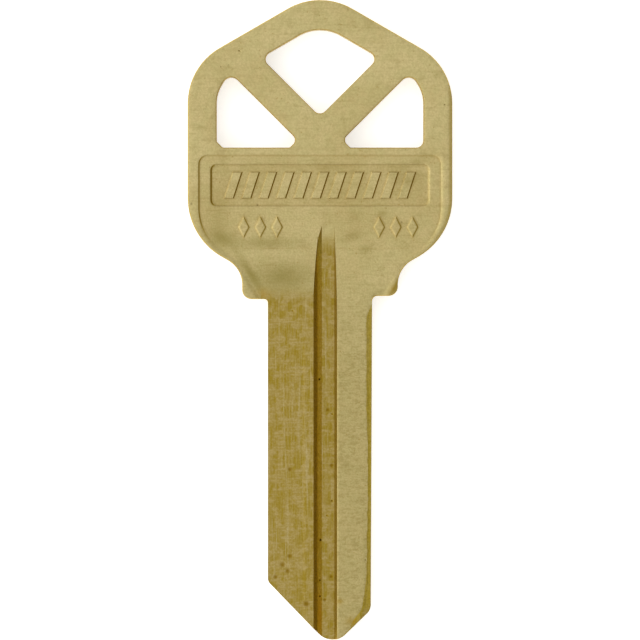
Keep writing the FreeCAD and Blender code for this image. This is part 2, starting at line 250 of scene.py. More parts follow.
def depth_inside(points: Array, loop: Loop, step: float = 0.1, reach: float = 1.0) -> Array:
    """How far each point lies inside an outline.

    Args:
        points: Rows of x and y.
        loop: The outline.
        step: The gap between the outline's sampled points.
        reach: The depth past which the exact number doesn't matter.

    Returns:
        The distance to the outline, positive inside it and negative outside it.
    """
    path = closed(loop.sampled(step))
    within = inside(points, path)
    depth = np.where(within, reach, -reach)
    low, high = path.min(axis=0) - reach, path.max(axis=0) + reach
    near = ((points > low) & (points < high)).all(axis=1)
    measured = distance_to(points[near], path)
    depth[near] = np.where(within[near], measured, -measured)
    return depth


def left_of(points: Array, place: Vector, run: Vector) -> Array:
    """How far each point lies to the left of a line, given by one of its points and its direction."""
    return (points[:, 1] - place.y) * run.x - (points[:, 0] - place.x) * run.y


def depth_in_convex(points: Array, loop: Loop) -> Array:
    """How far each point lies inside the sides of a convex anticlockwise outline, negative outside them."""
    corners = [corner.place for corner in loop.corners]
    depth = np.full(len(points), np.inf)
    for here, after in zip(corners, [*corners[1:], corners[0]]):
        depth = np.minimum(depth, left_of(points, here, (after - here).normalized()))
    return depth


def searchable(points: Array) -> KDTree:
    """A tree that finds the nearest of rows of x and y."""
    tree = KDTree(len(points))
    for index, (x, y) in enumerate(points):
        tree.insert((x, y, 0.0), index)
    tree.balance()
    return tree


@dataclass(frozen=True)
class Plate:
    """The stamped plate, with its outline and the three windows that are punched through its bow."""

    bow_length: float = 24.44
    blade_length: float = 27.86
    bow_width: float = 21.62
    neck_width: float = 12.72
    blade_width: float = 8.52
    bow_thickness: float = 2.10
    roof_slope: float = 30.0
    crown_radius: float = 5.3
    bow_top_radius: float = 5.2
    bow_bottom_radius: float = 5.5
    flank_slope: float = 30.0
    neck_length: float = 2.49
    neck_radius: float = 2.3
    spine_setback: float = 0.26
    ear_radius: float = 0.75
    cutting_root_radius: float = 0.3
    spine_root_radius: float = 0.45
    spine_taper: float = 0.11
    cutting_tip_slope: float = 46.0
    spine_tip_slope: float = 44.0
    nose_offset: float = 1.0
    nose_radius: float = 1.5
    cutting_tip_radius: float = 0.6
    spine_tip_radius: float = 1.0
    rim_width: float = 2.36
    strap_width: float = 2.66
    strap_slope: float = 45.0
    ring_window_drop: float = 9.51
    ring_window_crown_radius: float = 3.4
    ring_window_radius: float = 0.6
    side_window_drop: float = 12.06
    side_window_apex_radius: float = 0.72
    side_window_nose_height: float = 0.63
    side_window_nose_radius: float = 0.5
    side_window_chamfer: float = 0.5
    side_window_corner_radius: float = 0.6
    small_radius: float = 0.22
    edge_radius: float = 0.15
    back_edge_break: float = 0.1
    roll_depth: float = 0.03
    roll_width: float = 0.48
    drawn_depth: float = 0.085
    drawn_width: float = 0.38
    drawn_top: float = 19.6
    drawn_fade: float = 1.2
    drawn_curve: float = 1.5

    @property
    def crown_y(self) -> float:
        """The height of the crown, with the frame's origin halfway along the blank."""
        return (self.bow_length + self.blade_length) / 2

    @property
    def tip_y(self) -> float:
        """The height of the tip's lowest point."""
        return -self.crown_y

    @property
    def shoulder_y(self) -> float:
        """The height of the shoulder on the cutting side."""
        return self.crown_y - self.bow_length

    @property
    def spine_shoulder_y(self) -> float:
        """The height of the shoulder on the spine side."""
        return self.shoulder_y + self.spine_setback

    @property
    def window_foot(self) -> float:
        """The height of the straight bar under the side windows."""
        return self.crown_y - self.side_window_drop

    @property
    def spine_x(self) -> float:
        """The place of the blade's spine below the shoulder."""
        return self.blade_width / 2 - self.spine_taper

    def roof_at(self, x: float, drop: float) -> float:
        """The height of the bow's roof line at a place across the blank, moved inwards by drop."""
        peak = self.crown_y + self.crown_radius * (1 / cos(self.roof_slope) - 1)
        return peak - drop / cos(self.roof_slope) - abs(x) * tan(self.roof_slope)

    def strap_at(self, x: float, lower: bool) -> float:
        """The height of a slanting strap's upper or lower edge at a place across the blank."""
        drop = self.strap_width / cos(self.strap_slope) if lower else 0.0
        return self.crown_y - self.ring_window_drop - drop + abs(x) * tan(self.strap_slope)

    def tip(self) -> list[Corner]:
        """The corners of the tip, from the cutting edge round to the spine."""
        centre = Vector((self.nose_offset, self.tip_y + self.nose_radius))
        cutting_run = Vector((cos(self.cutting_tip_slope), -sin(self.cutting_tip_slope)))
        spine_run = Vector((cos(self.spine_tip_slope), sin(self.spine_tip_slope)))
        cutting_touch = centre + Vector((cutting_run.y, -cutting_run.x)) * self.nose_radius
        spine_touch = centre + Vector((spine_run.y, -spine_run.x)) * self.nose_radius
        upright = Vector((0.0, 1.0))
        cutting = crossing(cutting_touch, cutting_run, Vector((-self.blade_width / 2, 0.0)), upright)
        spine = crossing(spine_touch, spine_run, Vector((self.spine_x, 0.0)), upright)
        nose = crossing(cutting_touch, cutting_run, spine_touch, spine_run)
        return [
            Corner(cutting.x, cutting.y, self.cutting_tip_radius),
            Corner(nose.x, nose.y, self.nose_radius),
            Corner(spine.x, spine.y, self.spine_tip_radius),
        ]

    def outline(self) -> Loop:
        """The blank's outline, from the crown of the bow."""
        bow, neck, blade = self.bow_width / 2, self.neck_width / 2, self.blade_width / 2
        neck_top = self.shoulder_y + self.neck_length
        flank_y = neck_top + (bow - neck) * tan(self.flank_slope)
        left = Loop((
            Corner(-bow, self.roof_at(bow, 0.0), self.bow_top_radius),
            Corner(-bow, flank_y, self.bow_bottom_radius),
            Corner(-neck, neck_top, self.neck_radius),
        ))
        cutting_shoulder = (
            Corner(-neck, self.shoulder_y, self.ear_radius),
            Corner(-blade, self.shoulder_y, self.cutting_root_radius),
        )
        spine_shoulder = (
            Corner(blade, self.spine_shoulder_y, self.spine_root_radius),
            Corner(neck, self.spine_shoulder_y, self.ear_radius),
        )
        crown = Corner(0.0, self.roof_at(0.0, 0.0), self.crown_radius)
        right = left.mirrored()
        return Loop((crown, *left.corners, *cutting_shoulder, *self.tip(), *spine_shoulder, *right.corners))

    def ring_window(self) -> Loop:
        """The window under the crown, through which a key ring passes."""
        peak = self.roof_at(0.0, self.rim_width)
        foot = self.strap_at(0.0, lower=False)
        side_x = (peak - foot) / (tan(self.strap_slope) + tan(self.roof_slope))
        side_y = self.strap_at(side_x, lower=False)
        return Loop((
            Corner(0.0, peak, self.ring_window_crown_radius),
            Corner(-side_x, side_y, self.ring_window_radius),
            Corner(0.0, foot, self.ring_window_radius),
            Corner(side_x, side_y, self.ring_window_radius),
        ))

    def side_window(self, outer: Sequence[Corner]) -> Loop:
        """The right-hand window beside the straps.

        Args:
            outer: The corners of its lower outer end.

        Returns:
            The window's outline.
        """
        side = self.bow_width / 2 - self.rim_width
        turn = (90.0 - self.roof_slope) / 2
        bend_radius = self.bow_top_radius - self.rim_width
        bend_start = self.roof_at(self.bow_width / 2, 0.0) - self.bow_top_radius * tan(turn)
        bend = Vector((side, bend_start + bend_radius * tan(turn / 2)))
        strap_run = Vector((1.0, tan(self.strap_slope)))
        strap = Vector((0.0, self.strap_at(0.0, lower=True)))
        apex = crossing(bend, Vector((-cos(90.0 - turn), cos(turn))), strap, strap_run)
        nose_y = self.window_foot + self.side_window_nose_height
        nose_x = (nose_y - strap.y) / tan(self.strap_slope)
        foot_x = nose_x + self.side_window_nose_height * tan(self.strap_slope)
        return Loop((
            Corner(bend.x, bend.y, bend_radius),
            Corner(apex.x, apex.y, self.side_window_apex_radius),
            Corner(nose_x, nose_y, self.side_window_nose_radius),
            Corner(foot_x, self.window_foot, self.small_radius),
            *outer,
        ))

    def windows(self) -> tuple[Loop, ...]:
        """The three windows: the left one has a chamfered outer corner and the right one a rounded one."""
        side = self.bow_width / 2 - self.rim_width
        rounded = [Corner(side, self.window_foot, self.side_window_corner_radius)]
        chamfered = [
            Corner(side - self.side_window_chamfer, self.window_foot, self.small_radius),
            Corner(side, self.window_foot + self.side_window_chamfer, self.small_radius),
        ]
        return self.ring_window(), self.side_window(rounded), self.side_window(chamfered).mirrored()

    def edge_height(self, distance: Array) -> Array:
        """The highest that the marked face reaches at a distance from an edge, where it rounds over."""
        inward = self.edge_radius - np.minimum(distance, self.edge_radius)
        return self.bow_thickness - self.edge_radius + np.sqrt(self.edge_radius**2 - inward**2)

    def roll_over(self, points: Array, distance: Array, outline_distance: Array) -> Array:
        """How far the face sinks towards its edges, where the punch drew it down before it sheared.

        Args:
            points: Rows of x and y.
            distance: How far each point lies from the nearest edge.
            outline_distance: How far each point lies from the outline, drawn deeper on the bow's spine side.

        Returns:
            One depth a point.
        """
        even = self.roll_depth * np.maximum(1.0 - distance / self.roll_width, 0.0) ** 2
        on_bow = (points[:, 0] > self.blade_width / 2) & (points[:, 1] > self.spine_shoulder_y)
        share = on_bow * eased((self.drawn_top - points[:, 1]) / self.drawn_fade)
        near = np.maximum(1.0 - outline_distance / self.drawn_width, 0.0)
        drawn = self.drawn_depth * near**self.drawn_curve
        return np.maximum(even, drawn * share)

    def back_edge_height(self, distance: Array) -> Array:
        """The height of the other face at a distance from an edge, where its edge is broken."""
        return np.maximum(self.back_edge_break - distance, 0.0)


@dataclass(frozen=True)
class Coining:
    """What the dies pressed into the marked face: a field, a panel in it, grip bars and rows of lozenges."""

    plate: Plate
    field_depth: float = 0.07
    # Painted shade: how dark the sunk field, the foot of each wall and the panel's floor are painted.
    field_shade: float = 0.28
    shade_width: float = 0.08
    soft_wall: float = 0.5
    soft_wall_spine: float = 0.35
    soft_wall_left: float = 7.6
    soft_wall_top: float = 8.5
    soft_wall_drop: float = 3.5
    field_top_gap: float = 0.67
    field_side_margin: float = 0.98
    field_top_radius: float = 0.7
    field_bottom_radius: float = 4.0
    field_flank_slope: float = 33.0
    field_knee_margin: float = 0.59
    field_knee_height: float = 3.38
    field_knee_radius: float = 1.5
    field_ear_margin: float = 1.61
    field_wall: float = 0.13
    panel_top_gap: float = 0.78
    panel_side_margin: float = 1.01
    panel_height: float = 3.25
    panel_radius: float = 0.4
    panel_depth: float = 0.12
    panel_wall: float = 0.16
    panel_shade: float = 0.6
    bar_width: float = 0.86
    bar_pitch: float = 1.42
    bar_height: float = 2.24
    bar_lean: float = 18.0
    bar_rise: float = 0.1
    bar_slope: float = 0.11
    bar_end_margin: float = 0.5
    # How far the painted shade is cleared from the bars' tops, so that they read lighter.
    bar_shade_cleared: float = 0.7
    lozenges: int = 3
    lozenge_width: float = 0.98
    lozenge_height: float = 1.84
    lozenge_pitch: float = 1.36
    lozenge_rise: float = 0.06
    lozenge_slope: float = 0.1
    lozenge_drop: float = 1.8
    # A painted shadow line across the field, with no step in the mesh under it.
    ledge_y: float = 5.85
    ledge_half_length: float = 7.2
    ledge_shadow: float = 0.45
    left_lozenges_margin: float = 5.94
    right_lozenges_margin: float = 4.61
    wall_lines: tuple[float, ...] = (0.0, 0.25, 0.5, 0.75, 1.0)
    slope_lines: tuple[float, ...] = (0.0, 0.3, 0.65, 1.0)
    ledge_lines: tuple[float, ...] = (-1.2, 0.0, 1.2)

    @property
    def field_top(self) -> float:
        """The height of the field's upper edge."""
        return self.plate.window_foot - self.field_top_gap

    def field_loop(self) -> Loop:
        """The floor of the coined field, from the bar under the windows down past the shoulders."""
        plate = self.plate
        side = plate.bow_width / 2 - self.field_side_margin
        knee = plate.neck_width / 2 + self.field_knee_margin
        knee_y = plate.shoulder_y + self.field_knee_height
        ear = plate.neck_width / 2 - self.field_ear_margin
        past_tip = plate.tip_y - 1.0
        left = Loop((
            Corner(-side, self.field_top, self.field_top_radius),
            Corner(-side, knee_y + (side - knee) * tan(self.field_flank_slope), self.field_bottom_radius),
            Corner(-knee, knee_y, self.field_knee_radius),
            Corner(-ear, plate.shoulder_y),
            Corner(-ear, past_tip),
        ))
        return Loop((*left.corners, *left.mirrored().corners))

    def panel_loop(self) -> Loop:
        """The floor of the sunk panel in the upper part of the field."""
        side = self.plate.bow_width / 2 - self.field_side_margin - self.panel_side_margin
        top = self.field_top - self.panel_top_gap
        left = Loop((
            Corner(-side, top, self.panel_radius),
            Corner(-side, top - self.panel_height, self.panel_radius),
        ))
        return Loop((*left.corners, *left.mirrored().corners))

    def bars(self) -> list[Loop]:
        """The feet of the raised bars that fill the panel, leaning to the right."""
        upper, lower = self.panel_loop().corners[:2]
        middle = (upper.y + lower.y) / 2
        lean = self.bar_height * tan(self.bar_lean)
        room = -2 * (upper.x + self.bar_end_margin) - self.bar_width - lean
        count = int(room / self.bar_pitch) + 1
        half_width, half_height = self.bar_width / 2, self.bar_height / 2
        feet = []
        for index in range(count):
            x = (index - (count - 1) / 2) * self.bar_pitch
            feet.append(Loop((
                Corner(x - half_width - lean / 2, middle - half_height),
                Corner(x + half_width - lean / 2, middle - half_height),
                Corner(x + half_width + lean / 2, middle + half_height),
                Corner(x - half_width + lean / 2, middle + half_height),
            )))
        return feet

    def lozenge_loops(self) -> list[Loop]:
        """The feet of the raised lozenges, in a row on each side of the groove."""
        half_bow = self.plate.bow_width / 2
        middle = self.panel_loop().corners[1].y - self.lozenge_drop
        feet = []
        for row_x in (self.left_lozenges_margin - half_bow, half_bow - self.right_lozenges_margin):
            for index in range(self.lozenges):
                x = row_x + (index - (self.lozenges - 1) / 2) * self.lozenge_pitch
                feet.append(Loop((
                    Corner(x - self.lozenge_width / 2, middle),
                    Corner(x, middle - self.lozenge_height / 2),
                    Corner(x + self.lozenge_width / 2, middle),
                    Corner(x, middle + self.lozenge_height / 2),
                )))
        return feet

    def relief(self, points: Array) -> tuple[Array, Array]:
        """The coined face.

        Args:
            points: Rows of x and y.

        Returns:
            The height of each point, and how much painted shade it gets, at the foot of the walls and over
            the sunk field and panel.
        """
        into_field = depth_inside(points, self.field_loop())
        # The die bit less towards the neck and on the spine side, so the walls spread out there.
        low = eased((self.soft_wall_top - points[:, 1]) / self.soft_wall_drop)
        soft = np.maximum(low, self.soft_wall_spine * eased(points[:, 0] - self.soft_wall_left))
        wall = self.field_wall + (self.soft_wall - self.field_wall) * soft
        sunk = eased(1.0 + into_field / wall)
        height = self.plate.bow_thickness - self.field_depth * sunk
        # Painted shade over the sunk field and at the foot of its wall, fading out towards the neck.
        soil_and_shade = np.maximum(self.foot_shade(into_field), self.field_shade * sunk) * (1.0 - low)
        into_panel = depth_inside(points, self.panel_loop())
        sunk = eased(1.0 + into_panel / self.panel_wall)
        height -= self.panel_depth * sunk
        # Painted shade over the panel's floor and at the foot of its wall.
        soil_and_shade = np.max([soil_and_shade, self.foot_shade(into_panel), self.panel_shade * sunk], axis=0)
        for bar in self.bars():
            into_bar = depth_in_convex(points, bar)
            on_bar = eased(into_bar / self.bar_slope)
            height += self.bar_rise * on_bar
            # Painted shade at the bars' feet, cleared from their tops.
            soil_and_shade = np.maximum(soil_and_shade * (1.0 - self.bar_shade_cleared * on_bar), self.foot_shade(-into_bar))
        within_field = eased(into_field / self.field_wall)
        for lozenge in self.lozenge_loops():
            into_lozenge = depth_in_convex(points, lozenge)
            height += self.lozenge_rise * eased(into_lozenge / self.lozenge_slope) * within_field
            # Painted shade at the lozenges' feet.
            soil_and_shade = np.maximum(soil_and_shade, self.foot_shade(-into_lozenge))
        # A painted shadow line across the field.
        on_ledge = (np.abs(points[:, 0]) < self.ledge_half_length) * self.ledge_shadow
        soil_and_shade = np.maximum(soil_and_shade, on_ledge * self.foot_shade(points[:, 1] - self.ledge_y))
        return height, soil_and_shade

    def foot_shade(self, from_foot: Array) -> Array:
        """How much painted shade falls at a distance from the foot of a wall."""
        return np.exp(-((from_foot / self.shade_width) ** 2))

    def lines(self, step: float) -> list[Array]:
        """The closed lines that the mesh follows, so that each coined wall is crisp.

        Args:
            step: The widest gap between neighbouring points of a line.

        Returns:
            One array of points a line.
        """
        lines = []
        # Lines along the painted shadow line, so that it stays crisp.
        for drop in self.ledge_lines:
            y = self.ledge_y + drop * self.shade_width
            lines.append(straight((-self.ledge_half_length, y), (self.ledge_half_length, y), step))
        for share in self.wall_lines:
            lines.append(closed(self.field_loop().grown(share * self.field_wall).sampled(step)))
            lines.append(closed(self.panel_loop().grown(share * self.panel_wall).sampled(step)))
        for share in self.slope_lines:
            for bar in self.bars():
                lines.append(closed(bar.grown(-share * self.bar_slope).sampled(step)))
            for lozenge in self.lozenge_loops():
                lines.append(closed(lozenge.grown(-share * self.lozenge_slope).sampled(step)))
        return lines


@dataclass(frozen=True)
class Keyway:
    """What the cutters milled: a groove, a land, a bevel on the spine, and the other face's groove."""

    plate: Plate
    blade_thickness: float
    groove_depth: float = 0.95
    groove_left_lip: float = -0.60
    groove_facet_left: float = -0.20
    groove_facet_height: float = 0.24
    groove_floor_left: float = 0.15
    groove_floor_right: float = 1.17
    groove_right_lip: float = 1.40
    land_depth: float = 0.12
    land_ear_reach: float = 0.6
    land_fade: float = 1.6
    groove_fade: float = 2.5
    back_groove_depth: float = 0.85
    back_groove_left_lip: float = 1.72
    back_groove_floor_left: float = 2.02
    back_groove_floor_right: float = 2.98
    back_groove_right_lip: float = 3.46
    cutter_radius: float = 39.5
    cutter_stop: float = 2.6
    bevel_steepness: float = 0.36
    bevel_depth: float = 0.22
    bevel_knee: float = 0.3
    bevel_knee_drop: float = 0.46
    bevel_widths: tuple[tuple[float, float], ...] = (
        (1.2, 1.7),
        (2.5, 0.74),
        (4.1, 0.45),
        (5.8, 0.32),
        (9.0, 0.3),
        (11.4, 0.24),
        (16.4, 0.25),
        (18.8, 0.34),
        (26.4, 0.34),
        (27.6, -0.1),
    )
    bevel_waver: float = 0.018
    bevel_waver_rates: tuple[float, float] = (2.9, 7.3)
    bevel_fast_share: float = 0.7
    tip_bevel_width: float = 0.1
    tip_bevel_depth: float = 0.08
    tip_bevel_reach: tuple[float, float] = (-3.0, 6.0)
    lip_burr_width: float = 0.06
    lip_burr_depth: float = 0.025
    lip_burr_rise: float = 1.0
    lip_burr_fade: float = 4.0
    overrun: float = 0.5
    least_sunk: float = 0.01
    pass_line_x: float = -1.31
    pass_line_width: float = 0.07
    pass_line_step: float = 0.012
    pass_line_top: float = -1.6

    @property
    def stop_y(self) -> float:
        """Where the cutter stopped, above which every cut rises out of the metal."""
        return self.plate.shoulder_y - self.cutter_stop

    @property
    def land_end_y(self) -> float:
        """Where the skimmed land rises out of the face."""
        floor_radius = self.cutter_radius - self.groove_depth + self.land_depth
        return self.stop_y + self.rise_length(floor_radius, self.land_depth)

    @property
    def land_outer(self) -> float:
        """The place of the skimmed land's outer side, past the cutting edge."""
        return -self.plate.blade_width / 2 - self.land_ear_reach

    @staticmethod
    def rise_length(floor_radius: float, depth: float) -> float:
        """How far past its stop a round cutter's floor rises through a depth."""
        return math.sqrt(floor_radius**2 - (floor_radius - depth) ** 2)

    def run_out_y(self, depth: float) -> float:
        """Where a cut's floor has risen through a depth."""
        return self.stop_y + self.rise_length(self.cutter_radius, depth)

    def past_stop(self, y: Array) -> Array:
        """How far each point lies past the cutter's stop."""
        return np.maximum(y - self.stop_y, 0.0)

    def cut(self, points: Array, profile: Sequence[tuple[float, float]], depth: float) -> Array:
        """The height of a cut's surface above its deepest floor.

        Args:
            points: Rows of x and y.
            profile: The cut's section, as places across the blank and heights above its floor.
            depth: The cut's depth, which gives the height that it keeps outside its profile.

        Returns:
            One height a point, at least the depth outside the profile.
        """
        across, up = zip(*profile)
        section = np.interp(points[:, 0], across, up, left=depth + 1.0, right=depth + 1.0)
        past = self.past_stop(points[:, 1])
        return self.cutter_radius - np.sqrt((self.cutter_radius - section) ** 2 - past**2)

    def skimmed(self, points: Array) -> Array:
        """How far the milled look has come in at each point: it starts softly at the cuts' upper ends."""
        across = (points[:, 0] > self.land_outer) & (points[:, 0] < self.groove_left_lip)
        land = across * eased((self.land_end_y + self.land_fade / 2 - points[:, 1]) / self.land_fade)
        sunk = self.groove_heights(points) < self.blade_thickness - self.least_sunk
        groove = sunk * eased((self.run_out_y(self.groove_depth) - points[:, 1]) / self.groove_fade)
        return np.maximum(land, groove)

    def groove_profile(self) -> list[tuple[float, float]]:
        """The section of the groove on the marked face."""
        return [
            (self.groove_left_lip, self.groove_depth),
            (self.groove_facet_left, self.groove_facet_height),
            (self.groove_floor_left, 0.0),
            (self.groove_floor_right, 0.0),
            (self.groove_right_lip, self.groove_depth),
        ]

    def back_groove_profile(self) -> list[tuple[float, float]]:
        """The section of the groove on the other face."""
        return [
            (self.back_groove_left_lip, self.back_groove_depth),
            (self.back_groove_floor_left, 0.0),
            (self.back_groove_floor_right, 0.0),
            (self.back_groove_right_lip, self.back_groove_depth),
        ]

    def groove_heights(self, points: Array) -> Array:
        """The height of the groove's walls and floor."""
        floor = self.blade_thickness - self.groove_depth
        return floor + self.cut(points, self.groove_profile(), self.groove_depth)

    def burr_heights(self, points: Array) -> Array:
        """The height of the broken lip along the right side of the groove."""
        share = eased((self.stop_y + self.lip_burr_rise - points[:, 1]) / self.lip_burr_fade)
        beyond = (points[:, 0] - self.groove_right_lip) / self.lip_burr_width
        broken = self.blade_thickness - self.lip_burr_depth * share * np.minimum(1.0 - beyond, 1.0)
        at_lip = (share > 0.0) & (beyond < 1.0) & (points[:, 0] > self.groove_floor_right)
        return np.where(at_lip, broken, np.inf)

    def land_heights(self, points: Array) -> Array:
        """The height of the skimmed land between the groove and the cutting edge."""
        inner = (self.groove_left_lip + self.groove_floor_left) / 2
        lift = self.groove_depth - self.land_depth
        floor = self.blade_thickness - self.groove_depth
        height = floor + self.cut(points, [(self.land_outer, lift), (inner, lift)], self.groove_depth)
        # Two passes of the cutter left a step of a hundredth of a millimetre along the land.
        side = eased(0.5 + (self.pass_line_x - points[:, 0]) / self.pass_line_width)
        return height - self.pass_line_step * side * eased(self.pass_line_top - points[:, 1])

    def bevel_inner(self, y: Array) -> Array:
        """The place of the bevel's inner edge at a height. It wavers as a hand-fed cutter leaves it."""
        heights, widths = zip(*self.bevel_widths)
        slow, fast = self.bevel_waver_rates
        waver = self.bevel_waver * (np.sin(slow * y) + self.bevel_fast_share * np.sin(fast * y + 1.0))
        return self.plate.spine_x - np.interp(y - self.plate.tip_y, heights, widths) + waver

    def bevel_line(self, share: float, step: float) -> Array:
        """A line along the bevel, at a share of the way from its inner edge to the spine."""
        heights = [height for height, _ in self.bevel_widths]
        y = np.arange(heights[0], heights[-1], step) + self.plate.tip_y
        inner = self.bevel_inner(y)
        return np.column_stack([inner + share * (self.spine_edge(y) - inner), y])

    def spine_edge(self, y: Array) -> Array:
        """The place of the spine's edge at a height: the blade narrows a little towards the tip."""
        plate = self.plate
        foot = plate.tip()[2].y
        return np.interp(y, (foot, plate.spine_shoulder_y), (plate.spine_x, plate.blade_width / 2))

    def tip_edge(self) -> tuple[Vector, Vector]:
        """A point of the tip's slanting edge on the spine side, and the edge's direction."""
        nose, corner = self.plate.tip()[1:3]
        return nose.place, (corner.place - nose.place).normalized()

    def bevel_heights(self, points: Array) -> Array:
        """The height of the hollow bevel on the spine, and of the narrow one on the tip's spine side."""
        inner, edge = self.bevel_inner(points[:, 1]), self.spine_edge(points[:, 1])
        width = np.maximum(edge - inner, 0.0)
        share = (points[:, 0] - inner) / np.maximum(width, 0.02)
        drop = np.interp(share, (-1.0, 0.0, self.bevel_knee, 1.0), (-1.0, 0.0, self.bevel_knee_drop, 1.0))
        depth = np.minimum(self.bevel_steepness * width, self.bevel_depth)
        tip = self.tip_bevel_depth * (1.0 - left_of(points, *self.tip_edge()) / self.tip_bevel_width)
        below = points[:, 1] < self.plate.spine_shoulder_y - self.plate.spine_root_radius
        return np.where(below, self.blade_thickness - np.maximum(drop * depth, tip), np.inf)

    def back_heights(self, points: Array) -> Array:
        """The height of the other face's groove above that face, and none away from it."""
        return self.back_groove_depth - self.cut(points, self.back_groove_profile(), self.back_groove_depth)

    def lip_line(
        self, side: Sequence[tuple[float, float]], depth: float, start_y: float, step: float
    ) -> Array:
        """The curved lip that a groove's wall leaves where the cutter rises out of the metal.

        Args:
            side: The wall's section, as places across the blank and heights above the floor, floor first.
            depth: The groove's depth.
            start_y: Where the lip's line starts.
            step: The widest gap between neighbouring points.

        Returns:
            The line's points, upwards.
        """
        end_y = self.run_out_y(depth)
        y = np.linspace(start_y, end_y, math.ceil((end_y - start_y) / step))
        radius = self.cutter_radius - depth
        section = self.cutter_radius - np.sqrt(radius**2 + self.past_stop(y) ** 2)
        across, up = zip(*side)
        return np.column_stack([np.interp(section, up, across), y])

    def front_uprights(self) -> dict[float, float]:
        """The straight lines along the blade on the marked face, as a place across it and its upper end."""
        wall = self.groove_depth - self.groove_facet_height
        lip_share = (self.groove_depth - self.land_depth - self.groove_facet_height) / wall
        land_lip = self.groove_facet_left + (self.groove_left_lip - self.groove_facet_left) * lip_share
        full = self.run_out_y(self.groove_depth)
        return {
            self.pass_line_x - self.pass_line_width / 2: self.pass_line_top,
            self.pass_line_x + self.pass_line_width / 2: self.pass_line_top,
            land_lip: self.land_end_y,
            self.groove_facet_left: self.run_out_y(wall),
            self.groove_floor_left: full,
            self.groove_floor_right: full,
            self.groove_right_lip: self.stop_y,
            self.groove_right_lip + self.lip_burr_width: self.stop_y + self.lip_burr_rise,
        }

    def back_uprights(self) -> dict[float, float]:
        """The straight lines along the blade on the other face, as a place across it and its upper end."""
        full = self.run_out_y(self.back_groove_depth)
        return {
            self.back_groove_left_lip: self.stop_y,
            self.back_groove_floor_left: full,
            self.back_groove_floor_right: full,
            self.back_groove_right_lip: self.stop_y,
        }

    def front_curves(self, step: float) -> list[Array]:
        """The other lines that the mesh follows on the marked face."""
        profile = self.groove_profile()
        full = self.run_out_y(self.groove_depth)
        outer_foot = self.plate.shoulder_y - self.overrun
        place, run = self.tip_edge()
        inner = place + Vector((-run.y, run.x)) * self.tip_bevel_width
        tip_start, tip_end = (tuple(inner + run * reach) for reach in self.tip_bevel_reach)
        return [
            self.lip_line(profile[2::-1], self.groove_depth, self.land_end_y, step),
            self.lip_line(profile[3:], self.groove_depth, self.stop_y, step),
            straight((self.groove_floor_left, full), (self.groove_floor_right, full), step),
            straight((self.land_outer, self.land_end_y), (self.groove_left_lip, self.land_end_y), step),
            straight((self.land_outer, outer_foot), (self.land_outer, self.land_end_y), step),
            self.bevel_line(0.0, step),
            self.bevel_line(self.bevel_knee, step),
            straight(tip_start, tip_end, step),
        ]

    def back_curves(self, step: float) -> list[Array]:
        """The lips of the other face's groove, where the cutter rises out of the metal."""
        profile = self.back_groove_profile()
        full = self.run_out_y(self.back_groove_depth)
        return [
            self.lip_line(profile[1::-1], self.back_groove_depth, self.stop_y, step),
            self.lip_line(profile[2:], self.back_groove_depth, self.stop_y, step),
            straight((self.back_groove_floor_left, full), (self.back_groove_floor_right, full), step),
        ]


def straight(start: tuple[float, float], end: tuple[float, float], step: float) -> Array:
    """Points along a straight line, its two ends included."""
    count = max(2, math.ceil(math.dist(start, end) / step) + 1)
    return np.linspace(start, end, count)


def triangulated(
    lines: Sequence[Array], free: Array, holds: Callable[[Array], Array]
) -> tuple[Array, Array, list[list[int]]]:
    """Triangles over a flat area that follow lines.

    Args:
        lines: The lines that the triangles' sides keep to, which may cross.
        free: Further points to spread between them.
        holds: Tells for rows of x and y which of them lie in the area.

    Returns:
        The points, the triangles between them, and for each point the given points that it stands for.
    """
    places: list[Vector] = []
    sides: list[tuple[int, int]] = []
    for line in lines:
        first = len(places)
        places.extend(Vector(point) for point in line)
        sides.extend((first + index, first + index + 1) for index in range(len(line) - 1))
    places.extend(Vector(point) for point in free)
    found, _, faces, sources, _, _ = delaunay_2d_cdt(places, sides, [], 0, 1e-5)
    points, triangles = np.array([tuple(point) for point in found]), np.array(faces)
    triangles = triangles[holds(points[triangles].mean(axis=1))]
    used, renumbered = np.unique(triangles, return_inverse=True)
    return points[used], renumbered.reshape(-1, 3), [sources[index] for index in used]


def rim_paths(triangles: Array) -> list[list[int]]:
    """The closed paths around a sheet of triangles and around its holes, with the sheet on their left."""
    sides = {(a, b) for a, b, c in triangles.tolist() for a, b in ((a, b), (b, c), (c, a))}
    following = {a: b for a, b in sides if (b, a) not in sides}
    paths = []
    while following:
        path = [next(iter(following))]
        while path[-1] in following:
            path.append(following.pop(path[-1]))
        paths.append(path[:-1])
    return paths


@dataclass(frozen=True)
class Edges:
    """The edges of the plate as closed lines with the metal on their left, its outline first."""

    paths: tuple[Array, ...]

    def inwards(self, distance: float) -> list[Array]:
        """The edges moved into the metal."""
        moved = []
        for path in self.paths:
            run = np.roll(path, -1, axis=0) - np.roll(path, 1, axis=0)
            run /= np.linalg.norm(run, axis=1)[:, None]
            moved.append(path + distance * np.column_stack([-run[:, 1], run[:, 0]]))
        return moved

    def distances(self, points: Array) -> Array:
        """How far each point lies from the nearest edge."""
        starts = np.vstack(self.paths)
        tree = searchable(starts)
        nearest = np.array([tree.find((x, y, 0.0))[1] for x, y in points])
        best = np.full(len(points), np.inf)
        for turn in (1, -1):
            neighbours = np.vstack([np.roll(path, turn, axis=0) for path in self.paths])
            start, run = starts[nearest], neighbours[nearest] - starts[nearest]
            gap = points - start
            along = np.clip((gap * run).sum(axis=1) / (run**2).sum(axis=1), 0.0, 1.0)
            best = np.minimum(best, np.linalg.norm(gap - along[:, None] * run, axis=1))
        return best

    def holds(self, points: Array) -> Array:
        """Whether each point lies in the metal."""
        within = inside(points, closed(self.paths[0]))
        for path in self.paths[1:]:
            near = ((points >= path.min(axis=0)) & (points <= path.max(axis=0))).all(axis=1)
            within[near] &= ~inside(points[near], closed(path))
        return within


